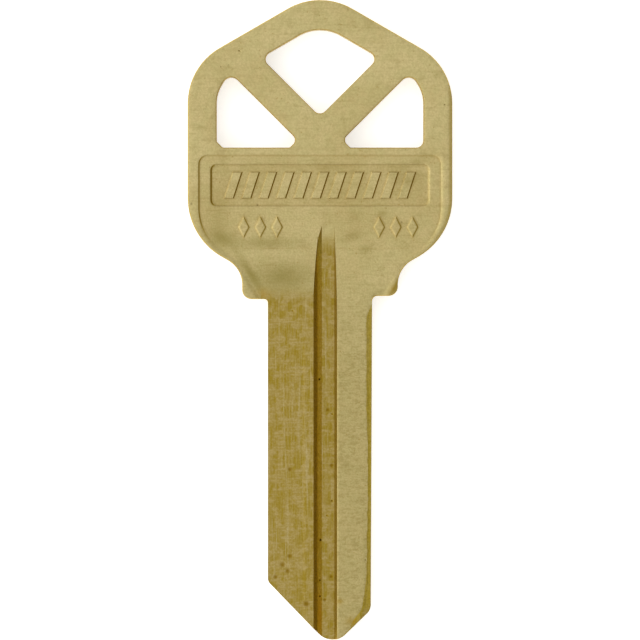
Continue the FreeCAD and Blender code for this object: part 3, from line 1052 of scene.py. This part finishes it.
@dataclass(frozen=True)
class Pit:
    """A small corrosion pit in the milled brass, gold at first and brown once it is old and deep."""

    x: float
    y: float
    radius: float
    age: float = 0.5
    full_depth: float = 0.03
    wall_steepness: float = 1.5
    ring_shares: tuple[float, ...] = (1.0, 0.65, 0.3)

    @property
    def depth(self) -> float:
        """How deep the pit is."""
        return self.full_depth * self.age

    def rings(self) -> list[Array]:
        """The pit's rim and two smaller rings, on its slope and around its floor."""
        angles = np.linspace(0.0, 2 * math.pi, 13)
        circle = np.column_stack([np.cos(angles), np.sin(angles)])
        return [np.array([self.x, self.y]) + circle * self.radius * share for share in self.ring_shares]

    def share(self, points: Array) -> Array:
        """How deep in the pit each point lies, from 0 at its rim to 1 on its floor."""
        off = np.hypot(points[:, 0] - self.x, points[:, 1] - self.y) / self.radius
        return eased((1.0 - off) * self.wall_steepness)


@dataclass(frozen=True)
class ColourPatch:
    """A soft-edged oval of colour for tarnish and for painted shade, with its half length, half width and
    the turn of its length from X.
    """

    x: float
    y: float
    length: float
    width: float
    turn: float = 0.0
    strength: float = 0.5

    def share(self, points: Array) -> Array:
        """How strong the patch is at each point."""
        along_x, along_y = cos(self.turn), sin(self.turn)
        off_x, off_y = points[:, 0] - self.x, points[:, 1] - self.y
        along = (off_x * along_x + off_y * along_y) / self.length
        across = (off_y * along_x - off_x * along_y) / self.width
        return self.strength * np.exp(-(along**2 + across**2))


@dataclass(frozen=True)
class Wear:
    """What years in a box have left on the blank: pits and stains, each in its own place, and among the
    stains a few patches of painted shade.
    """

    pits: tuple[Pit, ...] = (
        Pit(-0.05, -4.85, 0.12, 1.0),
        Pit(0.63, -7.35, 0.2),
        Pit(1.0, -7.7, 0.1, 0.7),
        Pit(0.95, -11.9, 0.21),
        Pit(0.97, -14.8, 0.13, 0.6),
        Pit(0.56, -16.0, 0.1, 0.5),
        Pit(0.05, -18.0, 0.13, 1.0),
        Pit(0.93, -21.0, 0.17),
        Pit(0.0, -21.3, 0.11, 0.7),
        Pit(0.0, -22.6, 0.11, 0.8),
        Pit(0.39, -22.9, 0.17),
        Pit(-1.12, -23.2, 0.33),
        Pit(-2.47, -19.3, 0.25, 0.45),
        Pit(-3.07, -20.0, 0.27, 0.45),
        Pit(-2.65, -20.5, 0.25, 0.45),
        Pit(-3.63, -21.0, 0.24, 0.45),
        Pit(-2.25, 0.75, 0.1, 0.5),
        Pit(-2.45, -12.2, 0.22, 0.45),
        Pit(3.72, -19.6, 0.1, 0.5),
        Pit(-6.6, 22.0, 0.08, 0.8),
        Pit(-8.1, 20.7, 0.09, 0.4),
        Pit(-7.45, 20.85, 0.07, 0.3),
        Pit(10.2, 17.6, 0.08, 0.6),
        Pit(-10.5, 9.5, 0.14, 0.4),
        Pit(-5.1, 9.4, 0.11, 0.45),
        Pit(6.7, 8.0, 0.09, 0.5),
    )
    olive_patches: tuple[ColourPatch, ...] = (
        # Painted shade: a dark diagonal band at the left of the neck.
        ColourPatch(-5.75, 3.9, 1.7, 0.36, -57.0, 0.8),
        ColourPatch(-3.0, 3.5, 2.4, 1.3, 0.0, 0.8),
        ColourPatch(-8.3, 8.2, 0.8, 2.6, 0.0, 0.3),
        ColourPatch(-8.0, 6.7, 1.2, 0.6, -20.0, 0.6),
        ColourPatch(-4.3, 6.3, 2.6, 0.45, 0.0, 0.65),
        ColourPatch(2.6, 6.9, 0.9, 0.5, 30.0, 0.35),
        ColourPatch(3.8, 5.8, 0.6, 0.35, 20.0, 0.45),
        ColourPatch(5.1, 8.7, 0.35, 0.25, 0.0, 0.6),
        ColourPatch(6.9, 11.6, 1.2, 0.8, 0.0, 0.3),
        ColourPatch(0.8, 12.5, 0.9, 0.3, 0.0, 0.3),
        ColourPatch(7.9, 12.9, 0.6, 0.25, 0.0, 0.5),
        ColourPatch(7.2, 11.3, 0.5, 0.5, 0.0, 0.35),
        ColourPatch(2.8, 8.5, 0.6, 0.5, -40.0, 0.35),
        ColourPatch(1.9, -0.8, 0.2, 0.15, 0.0, 0.4),
        ColourPatch(3.4, -24.2, 0.9, 0.3, 44.0, 0.4),
        # Painted shade beside the spine's bevel.
        ColourPatch(3.6, -19.5, 3.5, 0.12, 90.0, 0.3),
    )
    gilt_patches: tuple[ColourPatch, ...] = (
        ColourPatch(-4.75, 2.2, 0.6, 0.45, 0.0, 0.45),
        # Painted shade: a dark gold band by the right-hand ear.
        ColourPatch(6.05, 2.6, 0.8, 0.22, 58.0, 0.9),
        ColourPatch(-0.02, -24.2, 1.6, 0.14, 90.0, 0.9),
        ColourPatch(2.5, -24.6, 0.45, 0.3, 0.0, 0.6),
        ColourPatch(1.62, -23.0, 0.25, 0.2, 0.0, 0.9),
    )
    dull_top: float = 9.0
    dull_bottom: float = -4.0

    def pitted(self, points: Array) -> tuple[Array, Array]:
        """How deep the metal is pitted at each point in millimetres, and how dark that makes it."""
        shares = np.array([pit.share(points) for pit in self.pits])
        depths = np.array([pit.depth for pit in self.pits])
        ages = np.array([pit.age for pit in self.pits])
        return (shares * depths[:, None]).max(axis=0), (shares * ages[:, None]).max(axis=0)

    def tinted(self, points: Array, stains: Sequence[ColourPatch]) -> Array:
        """How strong some patches are together at each point."""
        return np.clip(sum(stain.share(points) for stain in stains), 0.0, 1.0)

    def dulled(self, points: Array) -> Array:
        """How much duller the metal is made at each point: bright at the top of the bow, and dull at the
        blade.
        """
        return eased((self.dull_top - points[:, 1]) / (self.dull_top - self.dull_bottom))


@dataclass(frozen=True)
class Blank:
    """The one piece of metal: a closed mesh of the plate with all that is coined and milled into it."""

    plate: Plate
    coining: Coining
    keyway: Keyway
    wear: Wear
    step: float = 0.12
    grid: float = 0.17
    back_grid: float = 0.5
    clearance: float = 0.07
    least_gap: float = 0.02
    tolerance: float = 1e-4
    bright_rim: float = 0.07
    sharp_angle: float = 29.0
    rounding_insets: tuple[float, ...] = (0.012, 0.035, bright_rim, 0.11, 0.15, 0.22, 0.3)

    @property
    def blade_middle_y(self) -> float:
        """A height on the blade, below which its straight lines run out at the outline."""
        return -self.plate.blade_width

    def edges(self) -> Edges:
        """The plate's edges, with a point wherever a straight line of the blade runs out at the tip."""
        outline = self.plate.outline().sampled(self.step)
        uprights = [*self.keyway.front_uprights(), *self.keyway.back_uprights()]
        for x in uprights:
            after = np.roll(outline, -1, axis=0)
            meets = ((outline[:, 0] - x) * (after[:, 0] - x) <= 0) & (outline[:, 1] < self.blade_middle_y)
            index = int(np.flatnonzero(meets & (outline[:, 0] != after[:, 0]))[-1])
            share = (x - outline[index, 0]) / (after[index, 0] - outline[index, 0])
            point = outline[index] + share * (after[index] - outline[index])
            outline = np.insert(outline, index + 1, point, axis=0)
            outline = self.thinned(outline, index + 1)
        windows = [window.sampled(self.step)[::-1] for window in self.plate.windows()]
        return Edges((outline, *windows))

    def thinned(self, path: Array, index: int) -> Array:
        """A closed path without the points that lie right beside the one with this place in it."""
        gaps = np.linalg.norm(path - path[index], axis=1)
        beside = (gaps < self.least_gap) & (np.arange(len(path)) != index)
        return path[~beside]

    def upright_lines(self, uprights: Mapping[float, float], edges: Edges) -> list[Array]:
        """The straight lines along the blade, each down to the point where it runs out at the tip."""
        outline = edges.paths[0]
        lower = outline[outline[:, 1] < self.blade_middle_y]
        lines = []
        for x, top in uprights.items():
            foot = lower[np.abs(lower[:, 0] - x) < self.tolerance][0]
            lines.append(np.vstack([straight((x, top), (x, foot[1]), self.grid)[:-1], foot]))
        return lines

    def spread(self, lines: Sequence[Array], edges: Edges, gap: float) -> Array:
        """Points in rows over the metal, clear of the lines.

        Args:
            lines: The lines that the mesh follows.
            edges: The plate's edges.
            gap: The distance between neighbouring points.

        Returns:
            Rows of x and y.
        """
        half_width, half_length = self.plate.bow_width / 2, self.plate.crown_y
        rows = np.arange(-half_length, half_length, gap * math.sqrt(0.75))
        columns = np.arange(-half_width, half_width, gap)
        x, y = np.meshgrid(columns, rows)
        x[1::2] += gap / 2
        points = np.column_stack([x.ravel(), y.ravel()])
        points = points[edges.holds(points)]
        tree = searchable(np.vstack(lines))
        keep = min(self.clearance, gap / 2)
        clear = [tree.find((point_x, point_y, 0.0))[2] > keep for point_x, point_y in points]
        return points[np.array(clear)]

    def face(self, points: Array, edges: Edges) -> tuple[Array, Array, Array]:
        """The marked face.

        Args:
            points: Rows of x and y.
            edges: The plate's edges.

        Returns:
            The height of each point, how the surface was made there, and how much painted shade it gets.
        """
        keyway = self.keyway
        edge_distance = edges.distances(points)
        coined, soil_and_shade = self.coining.relief(points)
        coined -= self.plate.roll_over(points, edge_distance, Edges(edges.paths[:1]).distances(points))
        rounded = self.plate.edge_height(edge_distance)
        land = keyway.land_heights(points)
        burr = keyway.burr_heights(points)
        groove, bevel = keyway.groove_heights(points), keyway.bevel_heights(points)
        cut = np.minimum(groove, bevel)
        left = np.minimum(coined, burr)
        height = np.min([left, land, cut, rounded], axis=0)
        skimmed = (np.minimum(land, groove) < left - self.tolerance) & (keyway.skimmed(points) >= 1.0)
        milled = skimmed | (bevel < np.minimum(left, groove) - self.tolerance)
        rolled = (edge_distance < self.bright_rim) & (rounded < np.minimum(land, cut))
        made = np.where(rolled, Surface.SHEARED, np.where(milled, Surface.MILLED, Surface.TUMBLED))
        # Where the cutters took the coined face off, it gets no painted shade.
        return height, made, np.where(np.minimum(land, cut) < coined, 0.0, soil_and_shade)

    def marked_face(self, edges: Edges) -> tuple[Array, Array, dict[str, Array]]:
        """The marked face's mesh.

        Args:
            edges: The plate's edges.

        Returns:
            Its points as rows of x, y and z, its triangles, and by name what the finishes ask of each point.
        """
        lines = [closed(path) for path in edges.paths]
        for inset in self.rounding_insets:
            lines.extend(closed(path) for path in edges.inwards(inset))
        lines.extend(self.coining.lines(self.grid))
        lines.extend(self.keyway.front_curves(self.grid))
        lines.extend(self.upright_lines(self.keyway.front_uprights(), edges))
        for pit in self.wear.pits:
            lines.extend(pit.rings())
        points, triangles, _ = triangulated(lines, self.spread(lines, edges, self.grid), edges.holds)
        height, _, soil_and_shade = self.face(points, edges)
        depth, pitted = self.wear.pitted(points)
        marks = {
            # How much painted shade each point gets.
            "soil_and_shade": soil_and_shade,
            "pitted": pitted,
            "olive": self.wear.tinted(points, self.wear.olive_patches),
            "gilt": self.wear.tinted(points, self.wear.gilt_patches),
            "dulled": self.wear.dulled(points),
            "skimmed": self.keyway.skimmed(points),
        }
        return np.column_stack([points, height - depth]), triangles, marks

    def other_face(self, paths: Sequence[Array]) -> tuple[Array, Array, list[list[int]]]:
        """The other face's mesh, whose edge has exactly the points of the marked face's edge.

        Args:
            paths: The marked face's edges, as rows of x and y.

        Returns:
            Its points as rows of x, y and z, its triangles, and the given points that each point stands for.
        """
        edges = Edges(tuple(paths))
        lines = [closed(path) for path in paths]
        lines.extend(closed(path) for path in edges.inwards(self.plate.back_edge_break))
        lines.extend(self.keyway.back_curves(self.grid))
        lines.extend(self.upright_lines(self.keyway.back_uprights(), edges))
        free = self.spread(lines, edges, self.back_grid)
        points, triangles, sources = triangulated(lines, free, edges.holds)
        broken = self.plate.back_edge_height(edges.distances(points))
        height = np.maximum(broken, self.keyway.back_heights(points))
        return np.column_stack([points, height]), triangles, sources

    def build(self) -> bpy.types.Object:
        """The blank's closed mesh, with the place of its finish on every face."""
        edges = self.edges()
        front, front_triangles, marks = self.marked_face(edges)
        rims = rim_paths(front_triangles)
        rims.sort(key=len, reverse=True)
        back, back_triangles, sources = self.other_face([front[rim, :2] for rim in rims])

        # The given points of the other face start with its closed edges, each with its first point repeated.
        below: dict[int, int] = {}
        given = {source: index for index, found in enumerate(sources) for source in found}
        first = 0
        for rim in rims:
            below.update((top, given[first + place] + len(front)) for place, top in enumerate(rim))
            first += len(rim) + 1
        walls = []
        for rim in rims:
            for top, after in zip(rim, [*rim[1:], rim[0]]):
                walls.append((after, top, below[top]))
                walls.append((after, below[top], below[after]))

        points = np.vstack([front, back]) * MM
        back_faces = back_triangles[:, ::-1] + len(front)
        triangles = np.vstack([front_triangles, back_faces, np.array(walls)])
        in_groove = back[back_triangles, 2].mean(axis=1) > self.plate.back_edge_break
        made = [
            self.face(front[front_triangles, :2].mean(axis=1), edges)[1],
            np.where(in_groove, Surface.MILLED, Surface.TUMBLED),
            np.full(len(walls), Surface.SHEARED),
        ]
        mesh = bpy.data.meshes.new("key_blank_brass")
        mesh.from_pydata(points.tolist(), [], triangles.tolist())
        mesh.polygons.foreach_set("material_index", np.concatenate(made).astype(np.int32))
        mesh.polygons.foreach_set("use_smooth", np.ones(len(triangles), dtype=bool))
        for name, values in marks.items():
            padded = np.concatenate([values, np.zeros(len(back))]).astype(np.float32)
            mesh.attributes.new(name, "FLOAT", "POINT").data.foreach_set("value", padded)
        mesh.set_sharp_from_angle(angle=math.radians(self.sharp_angle))
        mesh.validate()
        return placed("key_blank_brass", mesh)


def placed(name: str, data: bpy.types.ID) -> bpy.types.Object:
    """A new object in the scene."""
    made = bpy.data.objects.new(name, data)
    bpy.context.scene.collection.objects.link(made)
    return made


def linear(colour: str) -> tuple[float, float, float, float]:
    """A colour written as sRGB hex, as linear red, green, blue and alpha."""
    shares = [int(colour[place : place + 2], 16) / 255 for place in (1, 3, 5)]
    straightened = [s / 12.92 if s <= 0.04045 else ((s + 0.055) / 1.055) ** 2.4 for s in shares]
    return straightened[0], straightened[1], straightened[2], 1.0


def emptied(owner: bpy.types.Material | bpy.types.World) -> bpy.types.NodeTree:
    """The node tree of a new material or world, with no node in it."""
    owner.use_nodes = True
    owner.node_tree.nodes.clear()
    return owner.node_tree


def add_node(
    tree: bpy.types.NodeTree,
    kind: str,
    settings: Mapping[str, Any] | None = None,
    inputs: Mapping[str | int, Any] | None = None,
) -> bpy.types.Node:
    """Adds a shader node.

    Args:
        tree: The node tree that it joins.
        kind: The node's type.
        settings: Its own settings.
        inputs: What its sockets get, by name or by place: another node's output, or a constant.

    Returns:
        The new node.
    """
    added = tree.nodes.new(kind)
    for name, value in (settings or {}).items():
        setattr(added, name, value)
    for name, value in (inputs or {}).items():
        if isinstance(value, bpy.types.NodeSocket):
            tree.links.new(value, added.inputs[name])
        else:
            added.inputs[name].default_value = value
    return added


@dataclass(frozen=True)
class Variation:
    """A soft random variation over the metal, whose spots have a real size."""

    size: tuple[float, float, float]
    detail: float = 2.0
    low: float = 0.35
    high: float = 0.65
    shift: float = 0.0
    fine_share: float = 0.55

    def output(self, tree: bpy.types.NodeTree) -> bpy.types.NodeSocket:
        """A share from 0 to 1 that varies over the metal."""
        place = add_node(tree, "ShaderNodeTexCoord").outputs["Object"]
        per_metre = tuple(1.0 / (millimetres * MM) for millimetres in self.size)
        scaled = add_node(
            tree,
            "ShaderNodeVectorMath",
            {"operation": "MULTIPLY_ADD"},
            {0: place, 1: per_metre, 2: (self.shift, self.shift, self.shift)},
        )
        noise = add_node(
            tree,
            "ShaderNodeTexNoise",
            {"noise_dimensions": "3D"},
            {"Vector": scaled.outputs[0], "Scale": 1.0, "Detail": self.detail, "Roughness": self.fine_share},
        )
        spread = add_node(
            tree,
            "ShaderNodeMapRange",
            {"interpolation_type": "SMOOTHSTEP"},
            {"Value": noise.outputs["Fac"], "From Min": self.low, "From Max": self.high},
        )
        return spread.outputs["Result"]


def blended(
    tree: bpy.types.NodeTree,
    share: bpy.types.NodeSocket,
    base: bpy.types.NodeSocket | str,
    other: str,
    strength: float = 1.0,
    start: float = 0.0,
    full: float = 1.0,
) -> bpy.types.NodeSocket:
    """A colour that turns into another one as a share runs from its start to its full value.

    Args:
        tree: The node tree.
        share: Where the other colour shows.
        base: The colour that it covers, as a node's output or as hex.
        other: The colour that covers it, as hex.
        strength: How far it is covered at the share's full value.
        start: The share at which it starts to be covered.
        full: The share at which it is covered most.

    Returns:
        The blended colour.
    """
    held = add_node(
        tree,
        "ShaderNodeMapRange",
        {},
        {"Value": share, "From Min": start, "From Max": full, "To Max": strength},
    )
    ground = linear(base) if isinstance(base, str) else base
    mixed = add_node(
        tree,
        "ShaderNodeMix",
        {"data_type": "RGBA"},
        {0: held.outputs["Result"], 6: ground, 7: linear(other)},
    )
    return mixed.outputs[2]


def mark(tree: bpy.types.NodeTree, name: str) -> bpy.types.NodeSocket:
    """What the mesh says of each of its points under a name, from 0 to 1."""
    return add_node(tree, "ShaderNodeAttribute", {"attribute_name": name}).outputs["Fac"]


@dataclass(frozen=True)
class BrassFinish:
    """A finish of the blank's yellow brass, with its roughness and the depth of its fine relief."""

    name: str
    roughness: float
    relief_depth: float

    def colour(self, tree: bpy.types.NodeTree) -> bpy.types.NodeSocket:
        """The metal's colour over the surface."""
        raise NotImplementedError

    def relief(self, tree: bpy.types.NodeTree) -> bpy.types.NodeSocket:
        """The surface's fine relief, from 0 to 1."""
        raise NotImplementedError

    def material(self) -> bpy.types.Material:
        """The finish as a material."""
        made = bpy.data.materials.new(self.name)
        tree = emptied(made)
        bump = add_node(
            tree,
            "ShaderNodeBump",
            {},
            {"Height": self.relief(tree), "Strength": 1.0, "Distance": self.relief_depth * MM},
        )
        shader = add_node(
            tree,
            "ShaderNodeBsdfPrincipled",
            {},
            {
                "Base Color": self.colour(tree),
                "Metallic": 1.0,
                "Roughness": self.roughness,
                "Normal": bump.outputs["Normal"],
            },
        )
        add_node(tree, "ShaderNodeOutputMaterial", {}, {"Surface": shader.outputs["BSDF"]})
        return made


@dataclass(frozen=True)
class MilledBrass(BrassFinish):
    """Brass skimmed by a round cutter: yellower than the tumbled face, patchy, with fine tool lines."""

    name: str = "milled_brass"
    roughness: float = 0.44
    relief_depth: float = 0.002
    bronze: str = "#A8945C"
    pale: str = "#B5A576"
    gold: str = "#947E2A"
    deep_gold: str = "#83690E"
    # Painted light on tilted walls, which are tinted a brighter gold.
    slope_light_gold: str = "#BEA63C"
    orange: str = "#B98A1E"
    pit_gold: str = "#7E6208"
    pit_brown: str = "#2E2204"
    patches: Variation = Variation((0.8, 0.8, 0.8), 5.0, 0.43, 0.58, 2.7)
    long_lines: Variation = Variation((0.13, 2.5, 0.5), 2.0, 0.4, 0.62, 4.2)
    cross_lines: Variation = Variation((1.6, 0.15, 0.5), 2.0, 0.4, 0.62, 9.6)
    pale_lines: Variation = Variation((0.3, 7.0, 1.0), 3.0, 0.55, 0.7, 13.3)
    grain: Variation = Variation((0.17, 0.17, 0.17), 2.0, 0.4, 0.6, 1.9)

    def colour(self, tree: bpy.types.NodeTree) -> bpy.types.NodeSocket:
        """A bronze ground with gold patches and crossing lines, with painted light on steep walls, which are
        tinted golder.
        """
        metal = blended(tree, self.patches.output(tree), self.bronze, self.gold, strength=0.95)
        metal = blended(tree, self.cross_lines.output(tree), metal, self.gold, strength=0.6)
        metal = blended(tree, self.long_lines.output(tree), metal, self.bronze, strength=0.5)
        metal = blended(tree, self.pale_lines.output(tree), metal, self.pale, strength=0.55)
        # Painted light: faces that tilt from the flat are tinted golder, standing in for how the light falls
        # on the walls.
        normal = add_node(tree, "ShaderNodeNewGeometry").outputs["True Normal"]
        upright = add_node(tree, "ShaderNodeSeparateXYZ", {}, {0: normal}).outputs["Z"]
        metal = blended(tree, upright, metal, self.slope_light_gold, strength=0.65, start=0.985, full=0.965)
        metal = blended(tree, self.grain.output(tree), metal, self.deep_gold, strength=0.3)
        metal = blended(tree, mark(tree, "gilt"), metal, self.orange, strength=0.8)
        metal = blended(tree, mark(tree, "pitted"), metal, self.pit_gold, strength=0.85, full=0.45)
        return blended(tree, mark(tree, "pitted"), metal, self.pit_brown, strength=0.9, start=0.45)

    def relief(self, tree: bpy.types.NodeTree) -> bpy.types.NodeSocket:
        """The cutter's fine lines along the blade."""
        return self.long_lines.output(tree)


@dataclass(frozen=True)
class TumbledBrass(BrassFinish):
    """Brass coined between dies and tumbled in a barrel of chips: an even, satin, greyed straw colour."""

    name: str = "tumbled_brass"
    roughness: float = 0.5
    relief_depth: float = 0.004
    straw: str = "#C5B581"
    tan_cast: str = "#B6A46D"
    green_cast: str = "#B8AE76"
    dull_olive: str = "#A79862"
    tarnish: str = "#8D7D44"
    olive: str = "#877A3C"
    gilt: str = "#967A22"
    # Painted shade for faces that turn towards the spine.
    spine_shade_gold: str = "#A88E30"
    # The colour of the dark specks, and of the painted shade in the recesses and on faces turned to the
    # spine.
    soil_and_shade: str = "#8A6A16"
    pit_brown: str = "#4A3A0C"
    skimmed: MilledBrass = MilledBrass()
    grain: Variation = Variation((0.17, 0.17, 0.17), 3.0, 0.38, 0.62)
    mottle: Variation = Variation((1.0, 1.0, 1.0), 3.0, 0.38, 0.62, 7.3)
    cast: Variation = Variation((4.5, 4.5, 4.5), 2.0, 0.38, 0.62, 3.1)
    smudges: Variation = Variation((1.1, 0.8, 1.0), 4.0, 0.52, 0.72, 8.8)
    rolled_streaks: Variation = Variation((2.4, 0.14, 1.0), 2.0, 0.5, 0.75, 11.7)
    speckle: Variation = Variation((0.22, 0.22, 0.22), 1.0, 0.68, 0.76, 5.9)
    rubs: Variation = Variation((0.36, 0.17, 0.2), 5.0, 0.45, 0.65, 4.4)

    def colour(self, tree: bpy.types.NodeTree) -> bpy.types.NodeSocket:
        """A straw colour that drifts between tan and green, duller at the blade, with grain and specks.

        Edges and walls that face the spine are painted in shade: darker gold, then brown as they turn
        further towards it.

        Args:
            tree: The node tree.

        Returns:
            The colour.
        """
        straw = blended(tree, self.cast.output(tree), self.straw, self.tan_cast, strength=0.5)
        straw = blended(tree, self.mottle.output(tree), straw, self.green_cast, strength=0.4)
        straw = blended(tree, mark(tree, "dulled"), straw, self.dull_olive, strength=0.45)
        straw = blended(tree, self.smudges.output(tree), straw, self.tarnish, strength=0.25)
        straw = blended(tree, self.grain.output(tree), straw, self.tarnish, strength=0.22)
        straw = blended(tree, self.rolled_streaks.output(tree), straw, self.tarnish, strength=0.2)
        straw = blended(tree, self.speckle.output(tree), straw, self.soil_and_shade, strength=0.35)
        worn = add_node(
            tree,
            "ShaderNodeMath",
            {"operation": "MULTIPLY"},
            {0: mark(tree, "dulled"), 1: self.rubs.output(tree)},
        )
        straw = blended(tree, worn.outputs[0], straw, self.tarnish, strength=0.4)
        # The olive and gilt patches: tarnish, and in a few places painted shade.
        straw = blended(tree, mark(tree, "olive"), straw, self.olive, strength=0.8)
        straw = blended(tree, mark(tree, "gilt"), straw, self.gilt, strength=0.9)
        # Painted shade in the recesses and at the feet of the coined walls.
        straw = blended(tree, mark(tree, "soil_and_shade"), straw, self.soil_and_shade, strength=0.3)
        # Painted shade on faces that turn towards the spine, away from the lamp.
        normal = add_node(tree, "ShaderNodeNewGeometry").outputs["Normal"]
        towards_spine = add_node(tree, "ShaderNodeSeparateXYZ", {}, {0: normal}).outputs["X"]
        straw = blended(tree, towards_spine, straw, self.spine_shade_gold, strength=0.7, start=0.1, full=0.35)
        straw = blended(tree, towards_spine, straw, self.soil_and_shade, strength=0.75, start=0.35, full=0.6)
        straw = blended(tree, mark(tree, "pitted"), straw, self.pit_brown)
        both = add_node(
            tree,
            "ShaderNodeMix",
            {"data_type": "RGBA"},
            {0: mark(tree, "skimmed"), 6: straw, 7: self.skimmed.colour(tree)},
        )
        return both.outputs[2]

    def relief(self, tree: bpy.types.NodeTree) -> bpy.types.NodeSocket:
        """The dimples that the tumbling chips leave, drawn four times their real size so that they show."""
        return self.grain.output(tree)


@dataclass(frozen=True)
class ShearedBrass(BrassFinish):
    """Brass sheared by the punch and rolled over at its edge: bright gold, with streaks down its walls."""

    name: str = "sheared_brass"
    roughness: float = 0.38
    relief_depth: float = 0.006
    gold: str = "#C4AA5C"
    deep_gold: str = "#AA8E3E"
    streaks: Variation = Variation((0.15, 0.15, 1.2), 2.0, shift=6.4)

    def colour(self, tree: bpy.types.NodeTree) -> bpy.types.NodeSocket:
        """Gold with darker streaks along the punch's stroke."""
        return blended(tree, self.streaks.output(tree), self.gold, self.deep_gold, strength=0.8)

    def relief(self, tree: bpy.types.NodeTree) -> bpy.types.NodeSocket:
        """The shallow ridges that the punch dragged down the wall."""
        return self.streaks.output(tree)


@dataclass(frozen=True)
class Softbox:
    """A large soft lamp, in metres, with the brightness that a white card under it would show."""

    name: str
    place: tuple[float, float, float]
    width: float
    height: float
    brightness: float

    def build(self, target: Vector) -> bpy.types.Object:
        """The lamp, turned to a point."""
        data = bpy.data.lights.new(self.name, "AREA")
        data.shape = "RECTANGLE"
        data.size = self.width
        data.size_y = self.height
        data.energy = self.brightness * math.pi * self.width * self.height
        lamp = placed(self.name, data)
        lamp.location = self.place
        lamp.rotation_euler = (target - Vector(self.place)).to_track_quat("-Z", "Y").to_euler()
        lamp.visible_camera = False
        return lamp


@dataclass(frozen=True)
class Studio:
    """The plain studio: a pale floor, a soft lamp, a grey room around them, and the camera overhead."""

    floor_size: float = 3.0
    floor_gap: float = 0.02
    floor_colour: str = "#EFEFEC"
    floor_glow: float = 0.55
    room_left_brightness: float = 1.2
    room_right_brightness: float = 0.4
    room_fall_start: float = -0.1
    room_fall_end: float = 0.9
    camera_height: float = 0.6
    frame_width: float = 52.288
    sensor_width: float = 36.0
    sight: tuple[float, float] = (0.01, 10.0)
    lamp: Softbox = Softbox("left_softbox", (-0.8, 0.0, 0.45), 0.9, 0.7, 1.2)

    def seen_directly(self, tree: bpy.types.NodeTree, with_gloss: bool) -> bpy.types.NodeSocket:
        """1 where the camera sees a surface straight on, and 0 elsewhere.

        Args:
            tree: The node tree.
            with_gloss: Whether it is also 1 in reflections and through glass.

        Returns:
            That number.
        """
        path = add_node(tree, "ShaderNodeLightPath").outputs
        seen = path["Is Camera Ray"]
        for other in ("Is Glossy Ray", "Is Transmission Ray") if with_gloss else ():
            either = add_node(tree, "ShaderNodeMath", {"operation": "MAXIMUM"}, {0: seen, 1: path[other]})
            seen = either.outputs[0]
        return seen

    def floor(self) -> bpy.types.Object:
        """A pale matt floor that keeps the blank's shadow."""
        half = self.floor_size / 2
        z = -self.floor_gap * MM
        mesh = bpy.data.meshes.new("floor")
        corners = [(-half, -half, z), (half, -half, z), (half, half, z), (-half, half, z)]
        mesh.from_pydata(corners, [], [(0, 1, 2, 3)])
        paint = bpy.data.materials.new("matt_white_floor")
        tree = emptied(paint)
        matt = add_node(tree, "ShaderNodeBsdfDiffuse", {}, {"Color": linear(self.floor_colour)})
        glow = add_node(
            tree,
            "ShaderNodeMath",
            {"operation": "MULTIPLY"},
            {0: self.seen_directly(tree, with_gloss=True), 1: self.floor_glow},
        )
        bright = add_node(tree, "ShaderNodeEmission", {}, {"Strength": glow.outputs[0]})
        both = add_node(tree, "ShaderNodeAddShader", {}, {0: matt.outputs[0], 1: bright.outputs[0]})
        add_node(tree, "ShaderNodeOutputMaterial", {}, {"Surface": both.outputs[0]})
        mesh.materials.append(paint)
        return placed("floor", mesh)

    def room(self) -> bpy.types.World:
        """A grey room that is brighter on the left than on the right, and that the camera sees as white."""
        world = bpy.data.worlds.new("room")
        tree = emptied(world)
        direction = add_node(tree, "ShaderNodeTexCoord").outputs["Generated"]
        across = add_node(tree, "ShaderNodeSeparateXYZ", {}, {0: direction}).outputs["X"]
        lit = add_node(
            tree,
            "ShaderNodeMapRange",
            {},
            {
                "Value": across,
                "From Min": self.room_fall_start,
                "From Max": self.room_fall_end,
                "To Min": self.room_left_brightness,
                "To Max": self.room_right_brightness,
            },
        )
        strength = add_node(
            tree,
            "ShaderNodeMix",
            {"data_type": "FLOAT"},
            {0: self.seen_directly(tree, with_gloss=False), 2: lit.outputs["Result"], 3: 1.0},
        )
        white = linear("#FFFFFF")
        back = add_node(tree, "ShaderNodeBackground", {}, {"Color": white, "Strength": strength.outputs[0]})
        add_node(tree, "ShaderNodeOutputWorld", {}, {"Surface": back.outputs[0]})
        bpy.context.scene.world = world
        return world

    def camera(self, top: float) -> bpy.types.Object:
        """The camera overhead, framed on the whole blank.

        Args:
            top: The height of the blank's marked face, in metres.

        Returns:
            The camera.
        """
        data = bpy.data.cameras.new("overhead_camera")
        data.sensor_width = self.sensor_width
        data.lens = self.sensor_width * (self.camera_height - top) / (self.frame_width * MM)
        data.clip_start, data.clip_end = self.sight
        camera = placed("overhead_camera", data)
        camera.location = (0.0, 0.0, self.camera_height)
        bpy.context.scene.camera = camera
        return camera

    def build(self, top: float) -> bpy.types.Object:
        """The whole studio.

        Args:
            top: The height of the blank's marked face, in metres.

        Returns:
            The floor.
        """
        self.lamp.build(Vector((0.0, 0.0, 0.0)))
        self.room()
        self.camera(top)
        return self.floor()


def main() -> None:
    """Builds the blank and its studio."""
    logging.basicConfig(level=logging.INFO, format="%(message)s")
    plate = Plate()
    coining = Coining(plate)
    keyway = Keyway(plate, plate.bow_thickness - coining.field_depth)
    blank = Blank(plate, coining, keyway, Wear())
    piece = blank.build()
    for finish in (TumbledBrass(), MilledBrass(), ShearedBrass()):
        piece.data.materials.append(finish.material())
    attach(piece, "root")
    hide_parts(NODE)
    LOG.info("%s: %d points, %d faces", piece.name, len(piece.data.vertices), len(piece.data.polygons))

    floor = Studio().build(plate.bow_thickness * MM)
    floor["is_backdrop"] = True
    LOG.info("studio: %s", floor.name)

    bpy.context.scene.view_settings.view_transform = "Standard"
    boxes = {"cad": CAD_BOX, "visual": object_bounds()}
    {name: [list(corner) for corner in box] for name, box in boxes.items()}


if __name__ == "__main__":
    main()
